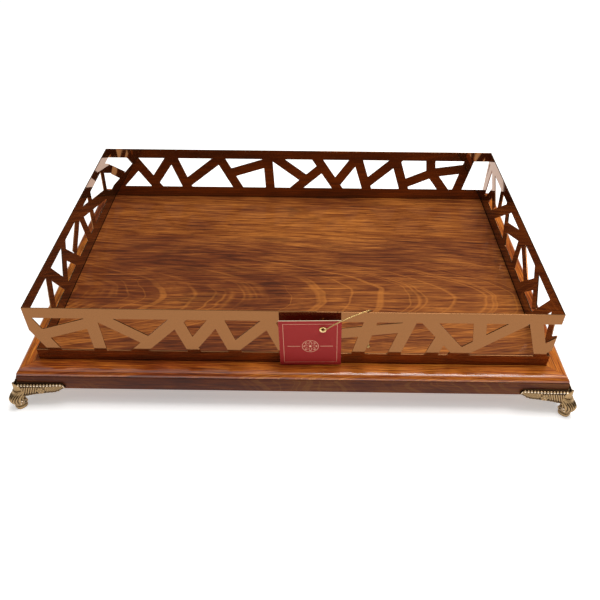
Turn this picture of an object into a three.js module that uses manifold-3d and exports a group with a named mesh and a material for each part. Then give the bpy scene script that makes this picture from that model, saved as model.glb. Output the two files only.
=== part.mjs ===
// Serving tray: a stained wooden base with a pierced sheet-brass gallery on four cast brass feet,
// and a card tag on a cord over the front rail.
// Millimetres, +Z up, length along X, front towards -Y. Z = 0 is the surface the tray stands on.

import * as THREE from 'three';
import { mergeVertices } from 'three/addons/utils/BufferGeometryUtils.js';
import Module from 'manifold-3d';

const wasm = await Module();
wasm.setup();

// ---- Driving dimensions ------------------------------------------------------------------------

const CLEARANCE = 0.3; // between pieces that touch
const MITRE_GAP = 0.3; // across each mitred corner joint

const GALLERY_LENGTH = 415; // outer face to outer face where the gallery meets the ledge, along X
const GALLERY_WIDTH = 277; // the same along Y
const GALLERY_HEIGHT = 54.5; // ledge to rim, upright
const FLARE = THREE.MathUtils.degToRad(2.5); // outward lean of all four panels
const SHEET = 1; // thickness of the brass sheet
const TOP_RAIL = 10;
const BOTTOM_RAIL = 10.5; // from the ledge up to the lattice
const BAR_WIDTH = 10.2;

const OVERHANG = 16; // base beyond the foot of the gallery
const LEDGE = 11.2; // flat part of that overhang
const NOSE_RADIUS = 4.4; // rounded top edge of the moulding
const COVE_DROP = 0.8; // hollow between the nose and the fascia
const FASCIA_EASE = 1; // small chamfer at the foot of the fascia
const BASE_THICKNESS = 18.2;
const FLOOR_THICKNESS = 5;
const FLOOR_RECESS = 0.8; // floor panel below the ledge

const FOOT_HEIGHT = 18.5; // below the base
const WING_LENGTH = 39;
const WING_RISE = 5; // up the fascia
const WING_DROP = 8.5; // below the base, at the corner
const WING_THICKNESS = 3.5;
const PLATE_THICKNESS = 1.8;
const PLATE_REACH = 33; // top plate, along each side from the corner
const PLATE_DEPTH = 12; // its width at the far ends
const LEG_WIDTH = 9;
const CORNER_LEAF_WIDTH = 6;

const SCREW_ALONG = 26; // foot screws, from the corner along the side
const SCREW_INSET = 7; // and in from the fascia
const SCREW_RADIUS = 1.2;
const SCREW_HEAD_RADIUS = 2.5;
const SCREW_HEAD_HEIGHT = 1.4;
const SCREW_DEPTH = 9; // into the wood

const TAG_WIDTH = 49;
const TAG_HEIGHT = 49;
const TAG_THICKNESS = 0.7;
const TAG_X = 14.9; // middle of the tag's foot
const TAG_STANDOFF = 3.6; // tag's foot in front of the gallery's
const TAG_LEAN = THREE.MathUtils.degToRad(4.5);
const TAG_TILT = THREE.MathUtils.degToRad(1.5);
const EYELET_RIGHT = 10; // from the middle of the card
const EYELET_DOWN = 9; // from its top edge
const EYELET_BORE = 1.2; // radii
const EYELET_BARREL = 1.7;
const EYELET_FLANGE = 2.9;
const EYELET_LIP = 0.5; // flange thickness

const CORD_RADIUS = 0.55;
const CORD_SIDES = 8;
const KNOT_RADIUS = 1.5;

// ---- Derived values ----------------------------------------------------------------------------

const HALF_LENGTH = GALLERY_LENGTH / 2;
const HALF_WIDTH = GALLERY_WIDTH / 2;
const LEDGE_Z = FOOT_HEIGHT + BASE_THICKNESS;
const BOARD_TOP = -(FLOOR_THICKNESS + FLOOR_RECESS); // from the ledge
const TONGUE = -BOARD_TOP - CLEARANCE; // gallery below the ledge, in its groove
const SLOPE_HEIGHT = GALLERY_HEIGHT / Math.cos(FLARE); // ledge to rim along the leaning sheet
const GROOVE_INNER = SHEET / Math.cos(FLARE) + TONGUE * Math.tan(FLARE) + CLEARANCE;
const LATTICE_HEIGHT = SLOPE_HEIGHT - TOP_RAIL - BOTTOM_RAIL;
const RIM_FLARE = GALLERY_HEIGHT * Math.tan(FLARE); // rim beyond the foot, each side
const BIG = 4 * (GALLERY_LENGTH + GALLERY_WIDTH); // cutting blocks

// ---- Lattice layout ----------------------------------------------------------------------------
// Each bar is [foot, head] in percent of the rim length from the left, seen from outside the tray.
// A bar that stops on another one adds its start and end as shares of the lattice height.

const FRONT_BARS = [
  [4.2, 0.1], [2.9, 13.1, 0.5, 0.91], [13.0, 12.4], [22.9, 14.5, 0.28, 1], [20.5, 28.6],
  [31.1, 28.3], [31.1, 35.6, 0.22, 1], [39.0, 36.1], [38.8, 45.8, 0.13, 1], [48.8, 45.5],
  [49.3, 56.9, 0.04, 1], [57.1, 55.2, 0, 0.6], [53.1, 71.5, 0.53, 0.86], [62.6, 64.5],
  [69.5, 71.8], [82.4, 75.6], [76.7, 78.3, 0, 0.6], [81.5, 92.1], [85.4, 84.8, 0.4, 1],
  [97.7, 95.2], [96.9, 101, 0.1, 0.54],
];

const BACK_BARS = [
  [96.4, 101, 0.38, 0.67], [97.9, 92.6, 0, 0.71], [87.6, 93.3], [88.8, 83.5, 0.06, 1],
  [79.6, 82.7], [80.5, 70.6, 0.04, 1], [66.0, 70.4], [68.1, 57.6, 0.49, 0.9], [57.4, 57.9],
  [48.0, 55.5, 0.31, 1], [50.4, 43.3, 0, 0.78], [39.5, 44.9], [40.4, 35.2, 0.09, 1],
  [31.7, 34.3], [32.1, 24.4, 0.15, 1], [21.8, 24.4], [22.4, 14.3, 0.16, 0.6],
  [15.0, 15.4, 0.54, 1], [15.0, 5.5, 0.58, 0.75], [11.4, 14.9, 0, 0.57], [7.6, 5.4],
];

const LEFT_BARS = [
  [82.3, 78.5], [68.2, 78.0], [68.8, 62.0, 0.05, 1], [54.1, 63.8, 0, 0.78],
  [55.4, 44.7, 0.34, 1], [39.2, 42.7], [12.8, 43.3, 0.23, 0.96], [30.3, 29.8, 0.58, 1],
  [31.9, 30.9, 0, 0.6], [11.9, 10.6, 0.25, 1], [7.1, 12.8, -0.05, 0.22], [-0.8, 9.6, 0.57, 1],
  [101, 98.5, 0.68, 1],
];

const RIGHT_BARS = [
  [4.3, 6.6], [-1, 5.0, 0.55, 0.1], [18.7, 9.1], [19.9, 26.7, 0.16, 1], [34.0, 23.4, 0, 0.77],
  [31.6, 44.3, 0.28, 1], [46.3, 45.7], [63.8, 45.4, 0.4, 0.97], [60.5, 66.0], [80.1, 63.8],
  [74.3, 75.6, 0.34, 1], [80.5, 90.8, 0.2, 1], [91.1, 86.2, 0, 0.5], [97.2, 94.9],
  [99.6, 99.6],
];

// Route of the tag's cord from the ledge, chosen by hand: out of the eyelet to the front, across
// the card's corner and up to the rim, and from the rim down the inside of the front panel.

const CORD_RUN = [
  [23.8, -144.1, 41.2], [23.8, -145.3, 41.1], [23.8, -146.9, 41.0], [24.3, -148.5, 41.9],
  [26.0, -149.2, 43.9], [29.6, -148.9, 46.6], [34.0, -148.4, 49.4], [38.5, -147.6, 51.5],
  [43.0, -146.3, 53.1], [47.5, -144.8, 54.3], [51.6, -143.4, 55.2], [55.0, -142.0, 55.7],
  [57.3, -140.9, 55.8],
];

const CORD_TAIL = [
  [57.8, -140.6, 55.8], [59.4, -139.5, 55.5], [60.5, -138.6, 54.4], [61.0, -138.1, 52.8],
  [61.1, -137.9, 50.0], [61.0, -137.8, 44.0], [60.9, -137.6, 36.0], [60.9, -137.4, 27.0],
  [61.0, -137.2, 18.5],
];

// ---- Materials ---------------------------------------------------------------------------------

function material(color, roughness, metalness) {
  return new THREE.MeshStandardMaterial({ color, roughness, metalness });
}

const floorWood = material(0x8a4a1e, 0.25, 0);
const mouldingWood = material(0x6b3414, 0.25, 0);
const boardWood = material(0xa9835a, 0.7, 0);
const gilt = material(0xb9904f, 0.12, 1);
const castBrass = material(0x8f6f46, 0.35, 1);
const screwBrass = material(0xa58a55, 0.3, 1);
const redCard = material(0x8c2b2f, 0.45, 0);
const goldThread = material(0xc9a45c, 0.35, 0.6);

// ---- Solids ------------------------------------------------------------------------------------

// Closed mesh to solid, with the vertices that faces share merged into one.
function toSolid(geometry) {
  const bare = geometry.clone();
  bare.deleteAttribute('normal');
  bare.deleteAttribute('uv');
  const merged = mergeVertices(bare, 1e-4);
  return new wasm.Manifold(new wasm.Mesh({
    numProp: 3,
    vertProperties: new Float32Array(merged.attributes.position.array),
    triVerts: new Uint32Array(merged.index.array),
  }));
}

function toGeometry(solid) {
  const mesh = solid.getMesh();
  const geometry = new THREE.BufferGeometry();
  geometry.setAttribute('position', new THREE.BufferAttribute(mesh.vertProperties, 3));
  geometry.setIndex(new THREE.BufferAttribute(mesh.triVerts, 1));
  geometry.computeVertexNormals();
  return geometry;
}

function joined(solids) {
  return solids.reduce((whole, next) => whole.add(next));
}

// Box from its lowest and highest corners.
function block(low, high) {
  const size = high.map((value, axis) => value - low[axis]);
  const middle = high.map((value, axis) => (value + low[axis]) / 2);
  return new THREE.BoxGeometry(...size).translate(...middle);
}

// Upright cylinder between two heights.
function upright(radius, bottom, top, x, y, sides = 16) {
  const geometry = new THREE.CylinderGeometry(radius, radius, top - bottom, sides);
  return geometry.rotateX(Math.PI / 2).translate(x, y, (top + bottom) / 2);
}

function outline(points) {
  return new THREE.Shape(points.map(([x, y]) => new THREE.Vector2(x, y)));
}

function extruded(shape, depth) {
  return new THREE.ExtrudeGeometry(shape, { depth, bevelEnabled: false, curveSegments: 6 });
}

// Cuts both ends of a front piece at 45 degrees, on the upright planes through its two corners.
function mitred(solid, halfAlong, halfAcross) {
  const setBack = (MITRE_GAP / 2) * Math.SQRT2;
  const rightEnd = block([0, -BIG, -BIG], [BIG, BIG, BIG])
    .rotateZ(Math.PI / 4)
    .translate(halfAlong - setBack, -halfAcross, 0);
  const leftEnd = block([0, -BIG, -BIG], [BIG, BIG, BIG])
    .rotateZ((3 * Math.PI) / 4)
    .translate(-halfAlong + setBack, -halfAcross, 0);
  return solid.subtract(toSolid(rightEnd)).subtract(toSolid(leftEnd));
}

// ---- Gallery -----------------------------------------------------------------------------------

// One lattice bar on the upright sheet, thicker than the sheet so that it masks the cutter.
// An end at a rail runs on into it, and an end on another bar stops at that bar's middle.
function latticeBar([foot, head, start = 0, end = 1], rimLength) {
  const at = (percent, share) => new THREE.Vector2(
    (percent / 100 - 0.5) * rimLength,
    BOTTOM_RAIL + share * LATTICE_HEIGHT,
  );
  const low = at(foot, start);
  const run = at(head, end).sub(low);
  const intoBottomRail = start > 0 ? 0 : BAR_WIDTH / 2;
  const intoTopRail = end < 1 ? 0 : BAR_WIDTH / 2;
  const bar = block([-intoBottomRail, -3 * SHEET, -BAR_WIDTH / 2],
    [run.length() + intoTopRail, 3 * SHEET, BAR_WIDTH / 2]);
  return toSolid(bar.rotateY(-run.angle()).translate(low.x, 0, low.y));
}

// A panel as the front one: the sheet stands on X, is pierced, leans out and is mitred.
function galleryPanel(bars, halfAlong, halfAcross) {
  const rimLength = 2 * (halfAlong + RIM_FLARE);
  const reach = rimLength / 2 + OVERHANG;
  const sheet = toSolid(block([-reach, 0, -TONGUE], [reach, SHEET, SLOPE_HEIGHT]));
  const window = toSolid(block([-BIG, -2 * SHEET, BOTTOM_RAIL],
    [BIG, 2 * SHEET, BOTTOM_RAIL + LATTICE_HEIGHT]));
  const lattice = joined(bars.map((bar) => latticeBar(bar, rimLength)));
  const pierced = toGeometry(sheet.subtract(window.subtract(lattice)));
  pierced.rotateX(FLARE).translate(0, -halfAcross, 0);
  return toGeometry(mitred(toSolid(pierced), halfAlong, halfAcross));
}

// ---- Base --------------------------------------------------------------------------------------

// Section of the moulding: [out from the foot of the gallery, up from the ledge].
function mouldingSection() {
  const noseX = LEDGE + NOSE_RADIUS;
  const coveZ = -NOSE_RADIUS - COVE_DROP;
  const shape = new THREE.Shape();
  shape.moveTo(CLEARANCE, -BASE_THICKNESS);
  shape.lineTo(OVERHANG - FASCIA_EASE, -BASE_THICKNESS);
  shape.lineTo(OVERHANG, -BASE_THICKNESS + FASCIA_EASE);
  shape.lineTo(OVERHANG, coveZ);
  shape.quadraticCurveTo(noseX, coveZ, noseX, -NOSE_RADIUS);
  shape.absarc(LEDGE, -NOSE_RADIUS, NOSE_RADIUS, 0, Math.PI / 2, false);
  shape.lineTo(CLEARANCE, 0);
  shape.closePath();
  return shape;
}

// A moulding as the front one, with the pilot holes of its two foot screws.
function moulding(halfAlong, halfAcross) {
  const length = 2 * (halfAlong + OVERHANG) + 2 * OVERHANG;
  const turn = new THREE.Matrix4().makeBasis(
    new THREE.Vector3(0, -1, 0),
    new THREE.Vector3(0, 0, 1),
    new THREE.Vector3(-1, 0, 0),
  );
  const rail = extruded(mouldingSection(), length)
    .applyMatrix4(turn)
    .translate(length / 2, -halfAcross, 0);
  const screwX = halfAlong + OVERHANG - SCREW_ALONG;
  const screwY = -halfAcross - OVERHANG + SCREW_INSET;
  const holeTop = -BASE_THICKNESS + SCREW_DEPTH + CLEARANCE;
  const holes = [-screwX, screwX].map((x) => toSolid(
    upright(SCREW_RADIUS + CLEARANCE, -BASE_THICKNESS - 1, holeTop, x, screwY),
  ));
  return toGeometry(mitred(toSolid(rail), halfAlong, halfAcross).subtract(joined(holes)));
}

const floorHalfLength = HALF_LENGTH - GROOVE_INNER;
const floorHalfWidth = HALF_WIDTH - GROOVE_INNER;
const floorPanel = block([-floorHalfLength, -floorHalfWidth, BOARD_TOP],
  [floorHalfLength, floorHalfWidth, -FLOOR_RECESS]);
const baseBoard = block([-HALF_LENGTH, -HALF_WIDTH, -BASE_THICKNESS],
  [HALF_LENGTH, HALF_WIDTH, BOARD_TOP]);

// ---- Feet --------------------------------------------------------------------------------------
// Origin at the lower corner of the base, which lies towards +X and +Y. Z = 0 is its underside.

// Leaf-shaped wing: [along the side, up]. The drop below the base grows towards the corner.
function wing(alongY) {
  const shape = outline([
    [-WING_THICKNESS - CLEARANCE, WING_RISE], [-WING_THICKNESS - CLEARANCE, -WING_DROP],
    [0.3 * WING_LENGTH, -0.9 * WING_DROP], [0.6 * WING_LENGTH, -0.7 * WING_DROP],
    [0.85 * WING_LENGTH, -0.25 * WING_DROP], [WING_LENGTH, 0.3 * WING_RISE],
    [WING_LENGTH, WING_RISE],
  ]);
  const turn = new THREE.Matrix4().makeBasis(
    alongY ? new THREE.Vector3(0, 1, 0) : new THREE.Vector3(1, 0, 0),
    new THREE.Vector3(0, 0, 1),
    alongY ? new THREE.Vector3(1, 0, 0) : new THREE.Vector3(0, -1, 0),
  );
  const leaf = extruded(shape, WING_THICKNESS).applyMatrix4(turn);
  return alongY ? leaf.translate(-CLEARANCE - WING_THICKNESS, 0, 0) : leaf.translate(0, -CLEARANCE, 0);
}

function footPlate() {
  const edge = -WING_THICKNESS / 2 - CLEARANCE;
  const shape = outline([
    [edge, edge], [PLATE_REACH, edge], [PLATE_REACH, PLATE_DEPTH],
    [PLATE_DEPTH, PLATE_REACH], [edge, PLATE_REACH],
  ]);
  const holes = [[SCREW_ALONG, SCREW_INSET], [SCREW_INSET, SCREW_ALONG]].map(([x, y]) => toSolid(
    upright(SCREW_RADIUS + CLEARANCE, -FOOT_HEIGHT, FOOT_HEIGHT, x, y),
  ));
  const plate = extruded(shape, PLATE_THICKNESS).translate(0, 0, -CLEARANCE - PLATE_THICKNESS);
  return toSolid(plate).subtract(joined(holes));
}

// Turns a shape of [out past the corner, up] to the upright plane that halves the corner.
function inDiagonalPlane(shape, width) {
  return extruded(shape, width)
    .rotateX(Math.PI / 2)
    .translate(0, width / 2, 0)
    .rotateZ((5 * Math.PI) / 4);
}

// Leaf tip that curls out in front of the mitre: [out past the corner, up].
function cornerLeaf() {
  return inDiagonalPlane(outline([
    [0.6, -1], [5, -1], [5, 4.5], [5, 8.2], [3, 8.2], [0.6, WING_RISE],
  ]), CORNER_LEAF_WIDTH);
}

// Scrolled leg in the diagonal plane: [out past the corner, share of the foot's height down].
function leg() {
  const top = (CLEARANCE + PLATE_THICKNESS / 2) / FOOT_HEIGHT;
  const shape = outline([
    [-12, top], [-7, 0.22], [-4, 0.42], [-3.6, 0.56], [-3.7, 0.8], [-2.8, 0.92], [-2.6, 1],
    [6.6, 1], [7.2, 0.93], [6.6, 0.84], [7.4, 0.7], [8.8, 0.54], [9, 0.42], [8, 0.26], [5.6, 0.1], [5, top],
  ].map(([out, down]) => [out, -down * FOOT_HEIGHT]));
  return inDiagonalPlane(shape, LEG_WIDTH);
}

function cornerFoot() {
  const leaves = [wing(false), wing(true), cornerLeaf()].map(toSolid);
  return toGeometry(joined([...leaves, footPlate(), toSolid(leg())]));
}

// Round-headed wood screw, driven upwards: origin at the face that its head bears on.
function footScrew() {
  const profile = [
    [0, -SCREW_HEAD_HEIGHT], [0.6 * SCREW_HEAD_RADIUS, -SCREW_HEAD_HEIGHT],
    [SCREW_HEAD_RADIUS, -0.4 * SCREW_HEAD_HEIGHT], [SCREW_HEAD_RADIUS, 0],
    [SCREW_RADIUS, 0], [SCREW_RADIUS, PLATE_THICKNESS + SCREW_DEPTH - 2 * SCREW_RADIUS],
    [0, PLATE_THICKNESS + SCREW_DEPTH],
  ].map(([radius, height]) => new THREE.Vector2(radius, height));
  return new THREE.LatheGeometry(profile, 16).rotateX(Math.PI / 2);
}

// ---- Tag ---------------------------------------------------------------------------------------
// Origin at the middle of the card's lower edge, Y through the card, front towards -Y.

const eyeletX = EYELET_RIGHT;
const eyeletZ = TAG_HEIGHT - EYELET_DOWN;

function tagCard() {
  const shape = outline([
    [-TAG_WIDTH / 2, 0], [TAG_WIDTH / 2, 0], [TAG_WIDTH / 2, TAG_HEIGHT], [-TAG_WIDTH / 2, TAG_HEIGHT],
  ]);
  const hole = new THREE.Path();
  hole.absarc(eyeletX, eyeletZ, EYELET_BARREL + CLEARANCE, 0, 2 * Math.PI, true);
  shape.holes.push(hole);
  return extruded(shape, TAG_THICKNESS).rotateX(Math.PI / 2).translate(0, TAG_THICKNESS / 2, 0);
}

// Rolled ring: a barrel through the card with a flange on each side of it.
function tagEyelet() {
  const seat = TAG_THICKNESS / 2 + CLEARANCE;
  const profile = [
    [EYELET_BORE, -seat - EYELET_LIP], [EYELET_FLANGE, -seat - EYELET_LIP],
    [EYELET_FLANGE, -seat], [EYELET_BARREL, -seat], [EYELET_BARREL, seat],
    [EYELET_FLANGE, seat], [EYELET_FLANGE, seat + EYELET_LIP], [EYELET_BORE, seat + EYELET_LIP],
    [EYELET_BORE, -seat - EYELET_LIP],
  ].map(([radius, height]) => new THREE.Vector2(radius, height));
  return new THREE.LatheGeometry(profile, 20).translate(eyeletX, 0, eyeletZ);
}

function cordTube(points) {
  const route = new THREE.CatmullRomCurve3(points.map((point) => new THREE.Vector3(...point)));
  const section = new THREE.Shape();
  for (let side = 0; side < CORD_SIDES; side += 1) {
    const angle = (side / CORD_SIDES) * 2 * Math.PI;
    const corner = [CORD_RADIUS * Math.cos(angle), CORD_RADIUS * Math.sin(angle)];
    if (side === 0) section.moveTo(...corner);
    else section.lineTo(...corner);
  }
  section.closePath();
  const steps = Math.ceil(route.getLength() / (5 * CORD_RADIUS));
  return new THREE.ExtrudeGeometry(section, { steps, extrudePath: route });
}

// Knot at the end of a route, just clear of the tube's end.
function knot(end, before) {
  const tip = new THREE.Vector3(...end);
  const away = tip.clone().sub(new THREE.Vector3(...before)).normalize();
  const middle = tip.addScaledVector(away, KNOT_RADIUS + CLEARANCE);
  return new THREE.SphereGeometry(KNOT_RADIUS, 12, 8).translate(...middle);
}

// ---- Assembly ----------------------------------------------------------------------------------

const tray = new THREE.Group();
const base = new THREE.Group(); // measured from the ledge
base.position.z = LEDGE_Z;
tray.add(base);

function place(parent, name, geometry, finish, position = [0, 0, 0], turn = 0) {
  const mesh = new THREE.Mesh(geometry, finish);
  mesh.name = name;
  mesh.position.set(...position);
  mesh.rotation.z = turn;
  parent.add(mesh);
  return mesh;
}

place(base, 'base_board', baseBoard, boardWood);
place(base, 'floor_panel', floorPanel, floorWood);

const sides = [
  { side: 'front', turn: 0, halfAlong: HALF_LENGTH, halfAcross: HALF_WIDTH, bars: FRONT_BARS },
  { side: 'right', turn: Math.PI / 2, halfAlong: HALF_WIDTH, halfAcross: HALF_LENGTH, bars: RIGHT_BARS },
  { side: 'back', turn: Math.PI, halfAlong: HALF_LENGTH, halfAcross: HALF_WIDTH, bars: BACK_BARS },
  { side: 'left', turn: -Math.PI / 2, halfAlong: HALF_WIDTH, halfAcross: HALF_LENGTH, bars: LEFT_BARS },
];

for (const { side, turn, halfAlong, halfAcross, bars } of sides) {
  const rail = moulding(halfAlong, halfAcross);
  const panel = galleryPanel(bars, halfAlong, halfAcross);
  place(base, `moulding_${side}`, rail, mouldingWood, [0, 0, 0], turn);
  place(base, `gallery_${side}`, panel, gilt, [0, 0, 0], turn);
}

const corners = [
  { corner: 'front_left', x: -1, y: -1, turn: 0 },
  { corner: 'front_right', x: 1, y: -1, turn: Math.PI / 2 },
  { corner: 'back_right', x: 1, y: 1, turn: Math.PI },
  { corner: 'back_left', x: -1, y: 1, turn: -Math.PI / 2 },
];

for (const { corner, x, y, turn } of corners) {
  const carrier = new THREE.Group();
  carrier.position.set(x * (HALF_LENGTH + OVERHANG), y * (HALF_WIDTH + OVERHANG), -BASE_THICKNESS);
  carrier.rotation.z = turn;
  base.add(carrier);
  const headSeat = -CLEARANCE - PLATE_THICKNESS - CLEARANCE;
  place(carrier, `foot_${corner}`, cornerFoot(), castBrass);
  place(carrier, `foot_screw_${corner}_a`, footScrew(), screwBrass, [SCREW_ALONG, SCREW_INSET, headSeat]);
  place(carrier, `foot_screw_${corner}_b`, footScrew(), screwBrass, [SCREW_INSET, SCREW_ALONG, headSeat]);
}

const tag = new THREE.Group();
const lowCorner = (TAG_WIDTH / 2) * Math.sin(TAG_TILT);
tag.position.set(TAG_X, -HALF_WIDTH - TAG_STANDOFF, CLEARANCE + lowCorner);
tag.rotation.set(TAG_LEAN, -TAG_TILT, 0);
base.add(tag);
place(tag, 'tag_card', tagCard(), redCard);
place(tag, 'tag_eyelet', tagEyelet(), gilt);

place(base, 'tag_cord_run', cordTube(CORD_RUN), goldThread);
place(base, 'tag_cord_tail', cordTube(CORD_TAIL), goldThread);
place(base, 'tag_cord_back_knot', knot(CORD_RUN[0], CORD_RUN[1]), goldThread);
place(base, 'tag_cord_end_knot', knot(CORD_TAIL.at(-1), CORD_TAIL.at(-2)), goldThread);

export default tray;
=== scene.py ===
"""Looks of a serving tray: stained wooden base, pierced mirror-brass gallery, cast feet and a card tag.

Everything is in metres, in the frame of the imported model: +X along the tray, front towards -Y, +Z up.
Sizes inside a class are in millimetres, unless its docstring says otherwise, and MM turns them to metres.
"""

from __future__ import annotations

import logging
import math
from dataclasses import dataclass
from enum import Enum

import bmesh
import bpy
import numpy as np
from mathutils import Matrix, Vector


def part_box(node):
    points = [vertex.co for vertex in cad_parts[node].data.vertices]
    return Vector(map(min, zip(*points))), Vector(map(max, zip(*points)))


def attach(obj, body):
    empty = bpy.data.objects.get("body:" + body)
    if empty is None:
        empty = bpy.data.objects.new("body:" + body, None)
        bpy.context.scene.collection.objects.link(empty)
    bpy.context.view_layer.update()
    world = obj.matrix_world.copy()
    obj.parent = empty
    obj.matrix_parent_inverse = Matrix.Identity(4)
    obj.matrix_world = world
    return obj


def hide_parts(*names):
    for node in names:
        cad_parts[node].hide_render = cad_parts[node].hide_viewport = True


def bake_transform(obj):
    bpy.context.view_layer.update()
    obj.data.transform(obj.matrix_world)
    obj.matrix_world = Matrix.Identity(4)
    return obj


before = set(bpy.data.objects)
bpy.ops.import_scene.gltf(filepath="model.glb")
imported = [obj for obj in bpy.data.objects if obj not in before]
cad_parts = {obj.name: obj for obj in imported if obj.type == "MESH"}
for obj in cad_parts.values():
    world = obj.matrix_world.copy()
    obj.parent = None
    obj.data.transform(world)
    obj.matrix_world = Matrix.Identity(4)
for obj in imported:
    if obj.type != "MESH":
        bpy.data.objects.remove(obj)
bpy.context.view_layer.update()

MM = 0.001
LOG = logging.getLogger("tray")


# ---- Shared helpers --------------------------------------------------------------------------------


def linear(hex_colour: str) -> tuple[float, float, float, float]:
    """Turns an sRGB colour such as "#A06030" to linear red, green, blue and alpha.

    Args:
        hex_colour: Six hexadecimal digits after a hash sign.

    Returns:
        The four values that a colour socket takes.
    """
    channels = [int(hex_colour[i : i + 2], 16) / 255 for i in (1, 3, 5)]
    return (*[c / 12.92 if c <= 0.04045 else ((c + 0.055) / 1.055) ** 2.4 for c in channels], 1.0)


def add(
    tree: bpy.types.NodeTree,
    kind: str,
    inputs: dict | None = None,
    stops: list[tuple[float, str]] | None = None,
    **settings: object,
) -> bpy.types.Node:
    """Adds one shader node with its settings and links.

    Args:
        tree: The node tree that gets it.
        kind: The node's type without its "ShaderNode" prefix.
        inputs: Socket name or number to a value, or to the output socket that feeds it, or to a node
            whose first output does.
        stops: Position and colour pairs of a colour ramp.
        **settings: Attributes of the node.

    Returns:
        The new node.
    """
    node = tree.nodes.new("ShaderNode" + kind)
    for name, value in settings.items():
        setattr(node, name, value)
    for socket, value in (inputs or {}).items():
        source = value.outputs[0] if isinstance(value, bpy.types.Node) else value
        if isinstance(source, bpy.types.NodeSocket):
            tree.links.new(source, node.inputs[socket])
        else:
            node.inputs[socket].default_value = source
    if stops:
        ramp = node.color_ramp
        while len(ramp.elements) < len(stops):
            ramp.elements.new(0.5)
        for element, (position, colour) in zip(ramp.elements, stops):
            element.position = position
            element.color = linear(colour)
    return node


def blank_material(name: str) -> tuple[bpy.types.Material, bpy.types.NodeTree]:
    """Makes a material with an empty node tree.

    Args:
        name: The finish's name.

    Returns:
        The material and its tree.
    """
    material = bpy.data.materials.new(name)
    material.use_nodes = True
    material.node_tree.nodes.clear()
    return material, material.node_tree


def close_material(material: bpy.types.Material, skin: dict) -> bpy.types.Material:
    """Ends a material with its one principled surface.

    Args:
        material: The material, with its patterns in its tree.
        skin: The surface's sockets and what feeds them.

    Returns:
        The same material.
    """
    tree = material.node_tree
    add(tree, "OutputMaterial", {"Surface": add(tree, "BsdfPrincipled", skin)})
    return material


def smoothstep(value: np.ndarray, low: float, high: float) -> np.ndarray:
    """Gives 0 below low and 1 above high, with a smooth cubic between them.

    Args:
        value: Where to read the step.
        low: Where it leaves 0.
        high: Where it reaches 1.

    Returns:
        The step's values.
    """
    t = np.clip((value - low) / (high - low), 0, 1)
    return t * t * (3 - 2 * t)


def grid_faces(rows: int, columns: int, close_rows: bool = False, close_columns: bool = False) -> np.ndarray:
    """Numbers the quads of a grid whose point (i, j) has the index i * columns + j.

    Args:
        rows: Points along the first parameter.
        columns: Points along the second one.
        close_rows: Whether the last row joins the first.
        close_columns: Whether the last column joins the first.

    Returns:
        One row of four indices per quad.
    """
    i = np.arange(rows if close_rows else rows - 1)[:, None]
    j = np.arange(columns if close_columns else columns - 1)[None, :]
    ahead, beside = (i + 1) % rows, (j + 1) % columns
    corners = [i * columns + j, ahead * columns + j, ahead * columns + beside, i * columns + beside]
    return np.stack([np.broadcast_to(c, (len(i), j.shape[1])) for c in corners], -1).reshape(-1, 4)


def closed_tube(points: np.ndarray) -> tuple[np.ndarray, list]:
    """Joins a grid of rings to a tube, with a flat cap on each end ring.

    Args:
        points: Array of rings by points by three.

    Returns:
        Vertices, and faces as lists of indices.
    """
    rings, around = points.shape[:2]
    faces = grid_faces(rings, around, close_columns=True).tolist()
    faces.append(list(range(around)))
    faces.append(list(range((rings - 1) * around, rings * around))[::-1])
    return points.reshape(-1, 3), faces


def gather(parts: list[tuple[np.ndarray, list]]) -> tuple[np.ndarray, list]:
    """Puts several vertex and face lists together as one.

    Args:
        parts: Vertices and faces of each part.

    Returns:
        All vertices, and all faces with their indices moved along.
    """
    vertices, faces, count = [], [], 0
    for own_vertices, own_faces in parts:
        vertices.append(own_vertices)
        faces.extend([[index + count for index in face] for face in own_faces])
        count += len(own_vertices)
    return np.concatenate(vertices), faces


def new_piece(name: str, vertices: np.ndarray, faces: list, sharp_degrees: float = 35.0) -> bpy.types.Object:
    """Makes a mesh object at the origin, with its faces turned outwards.

    Args:
        name: The piece's name.
        vertices: Points in metres, in the tray's frame.
        faces: Lists of indices.
        sharp_degrees: Edges that turn more than this stay sharp.

    Returns:
        The object, linked to the scene.
    """
    mesh = bpy.data.meshes.new(name)
    mesh.from_pydata(np.asarray(vertices, float).tolist(), [], faces)
    return settle(name, mesh, sharp_degrees)


def settle(name: str, mesh: bpy.types.Mesh, sharp_degrees: float) -> bpy.types.Object:
    """Merges doubles, turns the faces outwards, shades smooth up to an angle and links the mesh.

    Args:
        name: The piece's name.
        mesh: Its mesh, in the tray's frame.
        sharp_degrees: Edges that turn more than this stay sharp.

    Returns:
        The object, linked to the scene.
    """
    work = bmesh.new()
    work.from_mesh(mesh)
    bmesh.ops.remove_doubles(work, verts=work.verts, dist=1e-6)
    bmesh.ops.recalc_face_normals(work, faces=work.faces)
    work.to_mesh(mesh)
    work.free()
    mesh.polygons.foreach_set("use_smooth", np.ones(len(mesh.polygons), bool))
    mesh.set_sharp_from_angle(angle=math.radians(sharp_degrees))
    obj = bpy.data.objects.new(name, mesh)
    bpy.context.scene.collection.objects.link(obj)
    return obj


def dress(obj: bpy.types.Object, material: bpy.types.Material) -> bpy.types.Object:
    """Gives a piece its one material.

    Args:
        obj: The piece.
        material: Its finish.

    Returns:
        The same piece.
    """
    obj.data.materials.clear()
    obj.data.materials.append(material)
    return obj


def repaint(node: str, material: bpy.types.Material) -> None:
    """Puts a finish on a CAD node that stays as it is.

    Args:
        node: The node's name.
        material: Its finish.
    """
    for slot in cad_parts[node].material_slots:
        slot.material = material


def report(obj: bpy.types.Object) -> None:
    """Logs a piece's name and face count."""
    LOG.info("%s: %d faces", obj.name, len(obj.data.polygons))


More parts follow.
